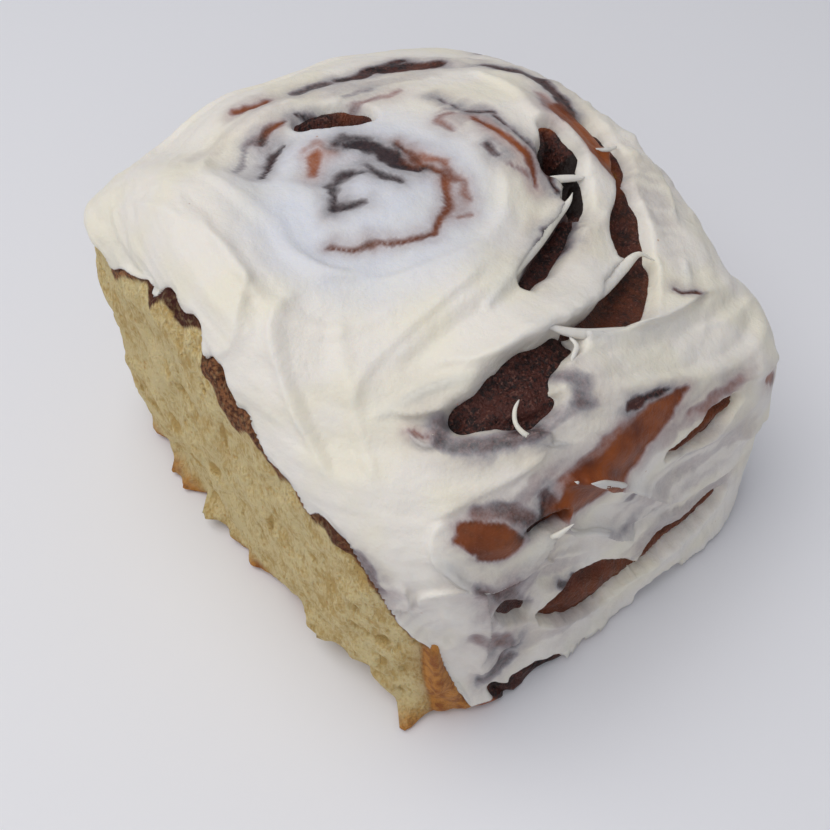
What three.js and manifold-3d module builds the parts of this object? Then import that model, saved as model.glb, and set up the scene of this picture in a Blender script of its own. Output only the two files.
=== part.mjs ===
// A single iced cinnamon roll, standing on the flat face that lay on the baking tray.
// Millimetres, +Z up. -X is a side torn from its neighbour, -Y the side that the icing runs down.
import * as THREE from 'three';
import { mergeVertices } from 'three/addons/utils/BufferGeometryUtils.js';
import Module from 'manifold-3d';

// ---- driving dimensions of the roll (mm, degrees) ----
const WIDEST = { halfX: 51.5, halfY: 57, height: 21, squareness: 5, centreY: 1.6 };
const FOOT = { halfX: 48.5, halfY: 57, squareness: 4.7, centreY: -1.6 };
const CROWN = { height: 73.3, x: -9, roundness: 2.2 };
const SHOULDER = { height: 73.5, squareness: 4.7 };
// Smooth lobes of the shoulder's height: direction, rise and how wide the lobe spreads.
const SHOULDER_LOBES = [
  { at: 134, rise: 4, spread: 32 },
  { at: 120, rise: -7, spread: 13 },
  { at: 50, rise: -4, spread: 35 },
  { at: -50, rise: -17, spread: 35 },
  { at: -130, rise: -10, spread: 35 },
];

// ---- the rolled seam: turning clockwise from -X (degrees) and its distance from the middle (mm) ----
const SEAM_MIDDLE = [-4, 4];
const SEAM_TURNS = [
  [-10, 6], [90, 7.5], [180, 13], [260, 14.5], [330, 13.5], [410, 19.5], [471, 20.5], [528, 31],
  [565, 35.5], [623, 31.5], [710, 31], [807, 34], [846, 40], [885, 54.5], [930, 48], [978, 43.5],
  [1030, 51], [1062, 56], [1085, 51], [1110, 62], [1170, 70], [1245, 76], [1305, 74], [1338, 70],
  [1370, 88], [1420, 96],
];
const SEAM = { depth: 2.8, halfWidth: 4.5, steps: 360 };

// ---- the icing: direction (degrees) and how far from the crown it reaches over the surface (mm) ----
const ICING_REACH = [
  [0, 95], [30, 88], [45, 80], [60, 76], [90, 72], [120, 74], [140, 78], [151, 72], [160, 59.5],
  [169, 51], [180, 49.5], [191, 54], [198, 59], [207, 67], [214, 74], [219, 78], [223, 88], [227, 102],
  [230, 112], [236, 120], [250, 121], [270, 121], [300, 121], [315, 119], [335, 110], [350, 101],
];
const ICING = { thickness: 2.6, edgeThickness: 1.3, edgeBand: 0.12, valleyFill: 0.55, gap: 0.35 };
// Places where the icing is scraped away, as [across, along] on the unfolded surface, half sizes and turn.
const BARE_SPOTS = [
  { at: [-10, -42], half: [12, 6.5], turn: 16 },
  { at: [19, -34.5], half: [12, 3.6], turn: 20 },
  { at: [46, -5], half: [3.6, 11], turn: 0 },
  { at: [32, -5], half: [3.6, 4.4], turn: -30 },
  { at: [-2, -68], half: [17, 6.5], turn: 14 },
  { at: [-31, -63], half: [6, 6], turn: 0 },
  { at: [-14, -106], half: [17, 4.5], turn: -8 },
  { at: [20, -72.5], half: [9, 2.6], turn: 18 },
  { at: [3, 22.5], half: [5.5, 2.2], turn: -20 },
];
const BARE_SPOT_REACH = 7;

// ---- mesh fineness ----
const SPOKES = 72;
const ICED_RINGS = 19;
const BARE_RINGS = 8;
const FOOT_RINGS = 3;
const CUTTER_SEGMENTS = [16, 8];

const BREAD = new THREE.MeshStandardMaterial({ color: 0xdcc89a, roughness: 0.85, metalness: 0 });
const CREAM = new THREE.MeshStandardMaterial({ color: 0xf0ece0, roughness: 0.45, metalness: 0 });

const HALF_TURN = Math.PI;
const radians = (degrees) => THREE.MathUtils.degToRad(degrees);

// Distance from the axis to a rounded-square outline: (|x/a|^n + |y/b|^n) = 1 in direction theta.
function outline(theta, halfX, halfY, n) {
  return (Math.abs(Math.cos(theta) / halfX) ** n + Math.abs(Math.sin(theta) / halfY) ** n) ** (-1 / n);
}

// Height of the shoulder in direction theta: a mean height and a few smooth lobes.
function shoulderHeight(theta) {
  return SHOULDER_LOBES.reduce((height, lobe) => {
    const turn = theta - radians(lobe.at);
    const away = Math.atan2(Math.sin(turn), Math.cos(turn));
    return height + lobe.rise * Math.exp(-((away / radians(lobe.spread)) ** 2));
  }, SHOULDER.height);
}

// A point of the smooth roll: phi runs from 0 at the crown, through pi/2 at the widest ring, to pi at
// the foot. The upper half is a squared-off dome, the lower half a wall that leans in to the foot.
function rollPoint(theta, phi) {
  const upper = Math.min(phi, HALF_TURN / 2);
  const sine = Math.sin(upper);
  const wall = Math.max(0, phi / (HALF_TURN / 2) - 1);
  const squareness = CROWN.roundness + (WIDEST.squareness - CROWN.roundness) * sine ** 4;
  const widest = outline(theta, WIDEST.halfX, WIDEST.halfY, squareness);
  const foot = outline(theta, FOOT.halfX, FOOT.halfY, FOOT.squareness);
  const spread = sine ** (2 / SHOULDER.squareness);
  const reach = wall > 0 ? widest + (foot - widest) * wall ** 1.2 : widest * spread;
  const shoulder = shoulderHeight(theta);
  const dome = (shoulder - WIDEST.height) * Math.max(0, Math.cos(upper)) ** (2 / SHOULDER.squareness);
  const crown = (CROWN.height - shoulder) * (1 - spread ** 2) ** 2;
  const height = wall > 0 ? WIDEST.height * (1 - wall) : WIDEST.height + dome + crown;
  const x = reach * Math.cos(theta) + CROWN.x * (1 - sine ** 2);
  const y = reach * Math.sin(theta) + WIDEST.centreY + (FOOT.centreY - WIDEST.centreY) * wall;
  const drop = Math.max(0, shoulder - height) * THREE.MathUtils.smoothstep(spread, 0, 0.3);
  return { point: new THREE.Vector3(x, y, height), unfolded: reach + drop };
}

// The phi at which the unfolded distance from the crown is reached, by halving the interval.
function phiAt(theta, unfolded) {
  let low = 0;
  let high = HALF_TURN;
  for (let halving = 0; halving < 30; halving += 1) {
    const middle = (low + high) / 2;
    if (rollPoint(theta, middle).unfolded < unfolded) low = middle;
    else high = middle;
  }
  return (low + high) / 2;
}

// Outward normal of the smooth roll, from two small steps along it.
function rollNormal(theta, phi) {
  const step = 0.01;
  const safe = Math.min(Math.max(phi, step), HALF_TURN - step);
  const around = rollPoint(theta + step, safe).point.sub(rollPoint(theta - step, safe).point);
  const down = rollPoint(theta, safe + step).point.sub(rollPoint(theta, safe - step).point);
  return down.cross(around).normalize();
}

// Straight-line reading of a closed list of [degrees, value] pairs.
function readAround(list, theta) {
  const degrees = ((THREE.MathUtils.radToDeg(theta) % 360) + 360) % 360;
  const next = list.findIndex((entry) => entry[0] > degrees);
  const to = next < 0 ? [list[0][0] + 360, list[0][1]] : list[next];
  const from = list[(next < 0 ? list.length : next) - 1];
  return THREE.MathUtils.mapLinear(degrees, from[0], to[0], from[1], to[1]);
}

// The seam as points on the unfolded surface.
function seamPoints() {
  const marks = SEAM_TURNS.map(([degrees, distance]) => new THREE.Vector3(degrees, distance, 0));
  const path = new THREE.CatmullRomCurve3(marks, false, 'centripetal').getSpacedPoints(SEAM.steps);
  return path.map((mark) => {
    const angle = radians(180 - mark.x);
    return [SEAM_MIDDLE[0] + mark.y * Math.cos(angle), SEAM_MIDDLE[1] + mark.y * Math.sin(angle)];
  });
}
const SEAM_POINTS = seamPoints();

// How deep the surface sinks towards the seam, from 0 on a coil's back to 1 in the seam.
function seamDip(theta, unfolded) {
  const across = unfolded * Math.cos(theta);
  const along = unfolded * Math.sin(theta);
  const nearest = Math.min(...SEAM_POINTS.map(([p, q]) => Math.hypot(across - p, along - q)));
  return Math.exp(-((nearest / SEAM.halfWidth) ** 2));
}

// Moves a point of the smooth roll along its normal; `level` gives the distance from (theta, fraction, dip).
function vertex(theta, unfolded, fraction, level) {
  const phi = phiAt(theta, unfolded);
  const { point } = rollPoint(theta, phi);
  const dip = fraction >= 0 && fraction <= 1 ? seamDip(theta, unfolded) : 0;
  return point.addScaledVector(rollNormal(theta, phi), level(fraction, dip));
}

// 0 at the icing's edge, 1 well inside it.
const inside = (fraction) => THREE.MathUtils.smoothstep(1 - fraction, 0, ICING.edgeBand);

// The bread lies below the smooth roll by the icing's thickness and by the seam.
function breadLevel(fraction, dip) {
  if (fraction > 1) return 0;
  return -inside(fraction) * (ICING.thickness + SEAM.depth * dip);
}
const icingUnderside = (fraction, dip) => breadLevel(fraction, dip) + ICING.gap;
function icingTop(fraction, dip) {
  const valley = SEAM.depth * dip * (1 - ICING.valleyFill) * inside(fraction);
  return ICING.edgeThickness * (1 - inside(fraction)) - valley;
}

// One ring of points; the radius is a fraction of the icing's reach, or past 1 the wall down to the foot.
function ring(fraction, level) {
  return Array.from({ length: SPOKES }, (_, spoke) => {
    const theta = (spoke / SPOKES) * 2 * HALF_TURN;
    const reach = readAround(ICING_REACH, theta);
    const foot = rollPoint(theta, HALF_TURN).unfolded;
    const unfolded = fraction <= 1 ? fraction * reach : reach + (fraction - 1) * (foot - reach);
    return vertex(theta, unfolded, fraction, level);
  });
}

// A closed mesh from a start point, rings of equal length, and an end point. From row `back` on, the rings
// run back under the first ones, and the squares are split the other way so that the two layers match.
function ringSolid(start, rings, end, back = Infinity) {
  const points = [start, ...rings.flat(), end];
  const index = [];
  const at = (row, spoke) => 1 + row * SPOKES + (spoke % SPOKES);
  for (let spoke = 0; spoke < SPOKES; spoke += 1) {
    index.push(0, at(0, spoke), at(0, spoke + 1));
    for (let row = 0; row + 1 < rings.length; row += 1) {
      const [a, b] = [at(row, spoke), at(row + 1, spoke)];
      const [c, d] = [at(row + 1, spoke + 1), at(row, spoke + 1)];
      index.push(...(row < back ? [a, b, c, a, c, d] : [a, b, d, b, c, d]));
    }
    index.push(points.length - 1, at(rings.length - 1, spoke + 1), at(rings.length - 1, spoke));
  }
  const geometry = new THREE.BufferGeometry().setFromPoints(points);
  geometry.setIndex(index);
  return geometry;
}

const evenly = (count, from, to) =>
  Array.from({ length: count }, (_, i) => THREE.MathUtils.lerp(from, to, (i + 1) / count));

// The baked dough: crown, iced top, bare walls, and the flat foot at z = 0.
function bread() {
  const top = vertex(0, 0, 0, breadLevel);
  const upper = evenly(ICED_RINGS, 0, 1).map((fraction) => ring(fraction, breadLevel));
  const lower = evenly(BARE_RINGS, 1, 2).map((fraction) => ring(fraction, breadLevel));
  lower.at(-1).forEach((point) => point.setZ(0));
  const centre = new THREE.Vector3(0, FOOT.centreY, 0);
  const under = evenly(FOOT_RINGS - 1, 1, 1 / FOOT_RINGS)
    .map((scale) => lower.at(-1).map((point) => point.clone().sub(centre).multiplyScalar(scale).add(centre)));
  return ringSolid(top, [...upper, ...lower, ...under], centre);
}

// The icing: one coat, from its top surface over the edge and back along its underside.
function icing() {
  const fractions = evenly(ICED_RINGS, 0, 1);
  const outer = fractions.map((fraction) => ring(fraction, icingTop));
  const inner = fractions.map((fraction) => ring(fraction, icingUnderside)).reverse();
  const [top, under] = [vertex(0, 0, 0, icingTop), vertex(0, 0, 0, icingUnderside)];
  const solid = ringSolid(top, [...outer, ...inner], under, ICED_RINGS);
  return cut(solid, BARE_SPOTS.map(spotCutter));
}

// A flattened ball that stands across the coat at a bare spot.
function spotCutter({ at, half, turn }) {
  const theta = Math.atan2(at[1], at[0]);
  const unfolded = Math.hypot(at[0], at[1]);
  const phi = phiAt(theta, unfolded);
  const { point } = rollPoint(theta, phi);
  const normal = rollNormal(theta, phi);
  const ahead = at[0] < 0 ? -1 : 1;
  const beside = rollPoint(theta + 0.02 * ahead, phi).point.sub(point);
  const acrossSide = Math.abs(at[0]) > Math.abs(at[1]);
  const flat = acrossSide ? beside.cross(normal) : beside;
  const east = flat.addScaledVector(normal, -flat.dot(normal)).normalize();
  if (east.x < 0) east.negate();
  const north = normal.clone().cross(east);
  const place = new THREE.Matrix4().makeBasis(east, north, normal).setPosition(point);
  const shape = new THREE.SphereGeometry(1, ...CUTTER_SEGMENTS);
  shape.scale(half[0], half[1], BARE_SPOT_REACH).rotateZ(radians(turn)).applyMatrix4(place);
  return shape;
}

const wasm = await Module();
wasm.setup();

function toManifold(geometry) {
  const bare = geometry.clone();
  bare.deleteAttribute('normal');
  bare.deleteAttribute('uv');
  const merged = mergeVertices(bare, 1e-4);
  const vertProperties = new Float32Array(merged.attributes.position.array);
  const triVerts = new Uint32Array(merged.index.array);
  return new wasm.Manifold(new wasm.Mesh({ numProp: 3, vertProperties, triVerts }));
}

// The solid with every cutter taken away, as a geometry again.
function cut(geometry, cutters) {
  const left = cutters.reduce((solid, cutter) => solid.subtract(toManifold(cutter)), toManifold(geometry));
  const { vertProperties, triVerts } = left.getMesh();
  const result = new THREE.BufferGeometry();
  result.setAttribute('position', new THREE.BufferAttribute(new Float32Array(vertProperties), 3));
  result.setIndex(new THREE.BufferAttribute(new Uint32Array(triVerts), 1));
  return result;
}

function named(name, geometry, material) {
  const mesh = new THREE.Mesh(geometry, material);
  mesh.name = name;
  return mesh;
}

const roll = new THREE.Group();
roll.add(named('baked_roll', bread(), BREAD), named('cream_cheese_icing', icing(), CREAM));

// The origin is the middle of the foot under the whole roll's box.
const middle = new THREE.Box3().setFromObject(roll).getCenter(new THREE.Vector3());
roll.children.forEach((mesh) => mesh.geometry.translate(-middle.x, -middle.y, 0));

export default roll;
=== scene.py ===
# %% [markdown]
# # A cinnamon roll with cream icing
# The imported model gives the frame: two solids, the baked roll and the coat of icing on it. Everything is in
# metres in that frame. Shapes below are worked out in millimetres, because a baker thinks in them, and
# turned into metres when they become a mesh.

import bpy
import numpy as np
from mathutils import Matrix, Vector


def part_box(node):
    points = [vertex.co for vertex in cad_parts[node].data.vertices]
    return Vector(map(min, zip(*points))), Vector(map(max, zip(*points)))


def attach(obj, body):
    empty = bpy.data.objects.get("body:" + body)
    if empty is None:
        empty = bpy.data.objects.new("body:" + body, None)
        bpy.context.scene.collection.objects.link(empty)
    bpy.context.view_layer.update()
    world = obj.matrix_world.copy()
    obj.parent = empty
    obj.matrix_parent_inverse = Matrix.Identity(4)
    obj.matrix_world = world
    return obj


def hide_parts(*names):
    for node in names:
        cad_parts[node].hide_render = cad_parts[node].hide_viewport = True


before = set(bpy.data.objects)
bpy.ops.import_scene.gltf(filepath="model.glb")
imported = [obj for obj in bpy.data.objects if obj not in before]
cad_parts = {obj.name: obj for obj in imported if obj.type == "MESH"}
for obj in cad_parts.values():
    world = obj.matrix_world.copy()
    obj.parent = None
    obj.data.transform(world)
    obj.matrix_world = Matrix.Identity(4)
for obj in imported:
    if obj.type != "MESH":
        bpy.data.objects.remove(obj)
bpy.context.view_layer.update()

MM = 0.001

# %% [markdown]
# ## Camera
# The eye is close to the roll, so its near corner looms and the walls draw in towards the plate. The camera
# is placed by a distance, a height angle and a turn round a target on the ground.

# %% The camera
LENS_MM = 47.7
SENSOR_MM = 36
EYE_DISTANCE = 0.2483
EYE_HEIGHT_ANGLE = np.radians(52)
EYE_TURN = np.radians(-38.5)
EYE_TARGET = np.array([-0.0005, 0.0067, 0.0])


def add_camera():
    level = np.cos(EYE_HEIGHT_ANGLE)
    back = np.array([np.sin(EYE_TURN) * level, -np.cos(EYE_TURN) * level, np.sin(EYE_HEIGHT_ANGLE)])
    data = bpy.data.cameras.new("camera")
    data.lens, data.sensor_width = LENS_MM, SENSOR_MM
    data.clip_start, data.clip_end = 0.01, 20
    camera = bpy.data.objects.new("camera", data)
    camera.location = EYE_TARGET + EYE_DISTANCE * back
    camera.rotation_euler = (np.pi / 2 - EYE_HEIGHT_ANGLE, 0, EYE_TURN)
    bpy.context.scene.collection.objects.link(camera)
    bpy.context.scene.camera = camera


add_camera()

# %% [markdown]
# ## The smooth roll
# A roll that rose between its neighbours has a squared-off plan and nearly upright walls. It could be a
# subdivided box, but every later step needs to know where on the roll it is, so the smooth roll is a
# formula. `theta` goes round the crown and `phi` runs from the crown to the foot. Laid flat like a map,
# a spot is given by (p, q): its direction from the crown, and the way out plus the drop, in millimetres.

# %% The smooth roll and its map
WIDEST = {"half_x": 51.5, "half_y": 57.0, "height": 21.0, "squareness": 5.0, "centre_y": 1.6}
FOOT = {"half_x": 48.5, "half_y": 57.0, "squareness": 4.7, "centre_y": -1.6}
CROWN = {"height": 73.3, "x": -9.0, "roundness": 2.2}
SHOULDER = {"height": 73.5, "squareness": 4.7}
# Each lobe of the shoulder's height: direction in degrees, rise in mm, spread in degrees.
SHOULDER_LOBES = [(134, 4, 32), (120, -7, 13), (50, -4, 35), (-50, -17, 35), (-130, -10, 35)]


def smoothstep(low, high, value):
    """0 below low, 1 above high, smooth in between."""
    t = np.clip((value - low) / (high - low), 0, 1)
    return t * t * (3 - 2 * t)


def bell(t):
    """1 at 0, falling off smoothly on both sides: exp(-t^2)."""
    return np.exp(-(t**2))


def turn_between(theta, degrees):
    """Signed turn from a direction in degrees to theta, in radians, wrapped to half a turn."""
    return np.angle(np.exp(1j * (theta - np.radians(degrees))))


def outline(theta, half_x, half_y, n):
    """Reach of a rounded square in direction theta: |x / half_x|^n + |y / half_y|^n = 1."""
    return (np.abs(np.cos(theta) / half_x) ** n + np.abs(np.sin(theta) / half_y) ** n) ** (-1 / n)


def shoulder_height(theta):
    """A mean height plus a few bell-shaped lobes."""
    lobes = [rise * bell(turn_between(theta, at) / np.radians(wide)) for at, rise, wide in SHOULDER_LOBES]
    return SHOULDER["height"] + sum(lobes)


def roll_point(theta, phi):
    """The upper half is a dome r = R sin^(2/n), z = H cos^(2/n); the lower half is a wall that leans in.
    Returns x, y, z and the unfolded distance, which is the reach plus the drop below the shoulder. The drop
    fades out at the crown, so that the map's middle is one spot."""
    upper = np.minimum(phi, np.pi / 2)
    sine = np.sin(upper)
    wall = np.clip(phi / (np.pi / 2) - 1, 0, 1)
    n = CROWN["roundness"] + (WIDEST["squareness"] - CROWN["roundness"]) * sine**4
    widest = outline(theta, WIDEST["half_x"], WIDEST["half_y"], n)
    foot = outline(theta, FOOT["half_x"], FOOT["half_y"], FOOT["squareness"])
    spread = sine ** (2 / SHOULDER["squareness"])
    reach = np.where(wall > 0, widest + (foot - widest) * wall**1.2, widest * spread)
    shoulder = shoulder_height(theta)
    dome = (shoulder - WIDEST["height"]) * np.cos(upper).clip(0) ** (2 / SHOULDER["squareness"])
    crown = (CROWN["height"] - shoulder) * (1 - spread**2) ** 2
    z = np.where(wall > 0, WIDEST["height"] * (1 - wall), WIDEST["height"] + dome + crown)
    x = reach * np.cos(theta) + CROWN["x"] * (1 - sine**2)
    y = reach * np.sin(theta) + WIDEST["centre_y"] + (FOOT["centre_y"] - WIDEST["centre_y"]) * wall
    return x, y, z, reach + (shoulder - z).clip(0) * smoothstep(0, 0.3, spread)


def phi_at(theta, unfolded):
    """The phi with that unfolded distance, by halving the interval for all spots at once."""
    low, high = np.zeros_like(theta), np.full_like(theta, np.pi)
    for _ in range(26):
        middle = (low + high) / 2
        short = roll_point(theta, middle)[3] < unfolded
        low, high = np.where(short, middle, low), np.where(short, high, middle)
    return (low + high) / 2


def smooth_point(p, q):
    """The point of the smooth roll at the map's (p, q), in millimetres."""
    theta, unfolded = np.arctan2(q, p), np.hypot(p, q)
    return np.stack(roll_point(theta, phi_at(theta, unfolded))[:3], -1)


def lifted(p, q, level, step=0.4):
    """The smooth roll's point moved along its normal by level, in millimetres. The normal is the cross
    product of two small steps over the map."""
    east = smooth_point(p + step, q) - smooth_point(p - step, q)
    north = smooth_point(p, q + step) - smooth_point(p, q - step)
    normal = np.cross(east, north)
    normal /= np.linalg.norm(normal, axis=-1, keepdims=True)
    return smooth_point(p, q) + normal * level[..., None]


def foot_distance(theta):
    return roll_point(theta, np.full_like(theta, np.pi))[3]


print("crown to foot over the front:", foot_distance(np.array([-np.pi / 2])).round(1), "mm")

# %% [markdown]
# ## Reading curves, and noise
# A groove, a ridge of icing or a bare streak is a curve on the map with a few chosen points. Two tools read
# them: one draws a smooth curve through the points, the other finds each spot's nearest place on it.
# Value noise, a random number at each corner of a grid smoothed in between, makes everything uneven.


# %% Curves and noise
def drawn(points, spacing=1.0):
    """A Catmull-Rom curve through rows of (p, q, ...), with a sample about every `spacing` millimetres."""
    points = np.asarray(points, float)
    padded = np.vstack([2 * points[0] - points[1], points, 2 * points[-1] - points[-2]])
    rows = []
    for a, b, c, d in zip(padded, padded[1:], padded[2:], padded[3:]):
        count = max(2, int(np.hypot(*(c - b)[:2]) / spacing))
        t = np.arange(count)[:, None] / count
        rows.append(0.5 * (2 * b + (c - a) * t + (2 * a - 5 * b + 4 * c - d) * t**2
                           + (3 * b - a - 3 * c + d) * t**3))
    return np.vstack([*rows, points[-1:]])


def nearest_on(curve, p, q, margin=None):
    """For each spot: signed distance (positive left of the way along), the share of the way along, and the
    curve's other columns there. Spots further than margin from the curve's box keep a large distance."""
    shape = p.shape
    p, q = p.ravel(), q.ravel()
    distance = np.full(p.size, 1e3)
    share = np.zeros(p.size)
    extra = np.tile(curve[0, 2:], (p.size, 1))
    (p0, q0), (p1, q1) = curve[:, :2].min(0), curve[:, :2].max(0)
    m = 1e4 if margin is None else margin
    near = np.flatnonzero((p > p0 - m) & (p < p1 + m) & (q > q0 - m) & (q < q1 + m))
    start, step = curve[:-1, :2], np.diff(curve[:, :2], axis=0)
    size = (step**2).sum(1) + 1e-9
    for block in np.array_split(near, max(1, near.size * len(step) // 3_000_000 + 1)):
        dp, dq = p[block, None] - start[:, 0], q[block, None] - start[:, 1]
        t = ((dp * step[:, 0] + dq * step[:, 1]) / size).clip(0, 1)
        gap = (dp - t * step[:, 0]) ** 2 + (dq - t * step[:, 1]) ** 2
        best, row = gap.argmin(1), np.arange(block.size)
        side = step[best, 0] * dq[row, best] - step[best, 1] * dp[row, best]
        distance[block] = np.sqrt(gap[row, best]) * np.where(side < 0, -1, 1)
        place = best + t[row, best]
        share[block] = place / (len(curve) - 1)
        if extra.shape[1]:
            part = t[row, best][:, None]
            extra[block] = curve[best, 2:] * (1 - part) + curve[best + 1, 2:] * part
    return distance.reshape(shape), share.reshape(shape), extra.reshape(*shape, -1)


def corner_value(i, j, k, seed):
    """A fixed random number from 0 to 1 for each corner of the grid."""
    h = (i * 73856093 ^ j * 19349663 ^ k * 83492791 ^ seed * 2654435761) & 0xFFFFFFFF
    h = ((h ^ (h >> 15)) * 2246822519) & 0xFFFFFFFF
    h = ((h ^ (h >> 13)) * 3266489917) & 0xFFFFFFFF
    return ((h ^ (h >> 16)) & 0xFFFFFF) / 0xFFFFFF


def noise(x, y, z=0.0, seed=1):
    """Smooth value noise from -1 to 1 with features about one unit across."""
    x, y, z = np.broadcast_arrays(np.asarray(x, float), y, z)
    cells = [np.floor(v).astype(np.int64) for v in (x, y, z)]
    parts = [smoothstep(0, 1, v - c) for v, c in zip((x, y, z), cells)]
    total = np.zeros(x.shape)
    for corner in range(8):
        bits = [corner >> n & 1 for n in range(3)]
        weight = np.prod([f if b else 1 - f for f, b in zip(parts, bits)], axis=0)
        total += weight * corner_value(*[c + b for c, b in zip(cells, bits)], seed)
    return total * 2 - 1


def rough(x, y, z=0.0, seed=1, octaves=3):
    """Noise on noise: each octave is half as large and half as strong."""
    return sum(noise(x * 2**n, y * 2**n, z * 2**n, seed + n) / 2**n for n in range(octaves))


# %% [markdown]
# ## The seam of the coil
# The dough sheet was spread with cinnamon sugar and rolled up, so one seam winds from the middle out to the
# wall. Each entry is a clockwise turn from the -X side and the distance from the coil's middle.

# %% The seam
SEAM_MIDDLE = np.array([-4.0, 4.0])
SEAM_TURNS = [
    (-10, 6), (90, 7.5), (180, 12), (214, 14.5), (260, 14.3), (330, 13.5), (410, 19.5), (440, 20.7),
    (471, 20), (500, 24), (528, 31), (565, 35), (598, 33.3), (623, 31.5), (710, 31), (807, 33.5), (846, 40),
    (872, 51), (890, 54), (908, 51), (930, 47), (960, 45), (985, 44), (1030, 50), (1062, 56), (1085, 51),
    (1110, 62), (1170, 70), (1245, 76), (1305, 76), (1332, 73), (1348, 76), (1370, 88), (1420, 100),
    (1500, 108),
]


def seam_curve():
    turns = drawn(np.array([(turn / 3, far, turn) for turn, far in SEAM_TURNS]), spacing=1.0)
    angle = np.radians(180 - turns[:, 2])
    return np.stack([SEAM_MIDDLE[0] + turns[:, 1] * np.cos(angle),
                     SEAM_MIDDLE[1] + turns[:, 1] * np.sin(angle)], -1)


SEAM = seam_curve()
print("seam:", len(SEAM), "points,", round(np.hypot(*np.diff(SEAM, axis=0).T).sum()), "mm long")
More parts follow.
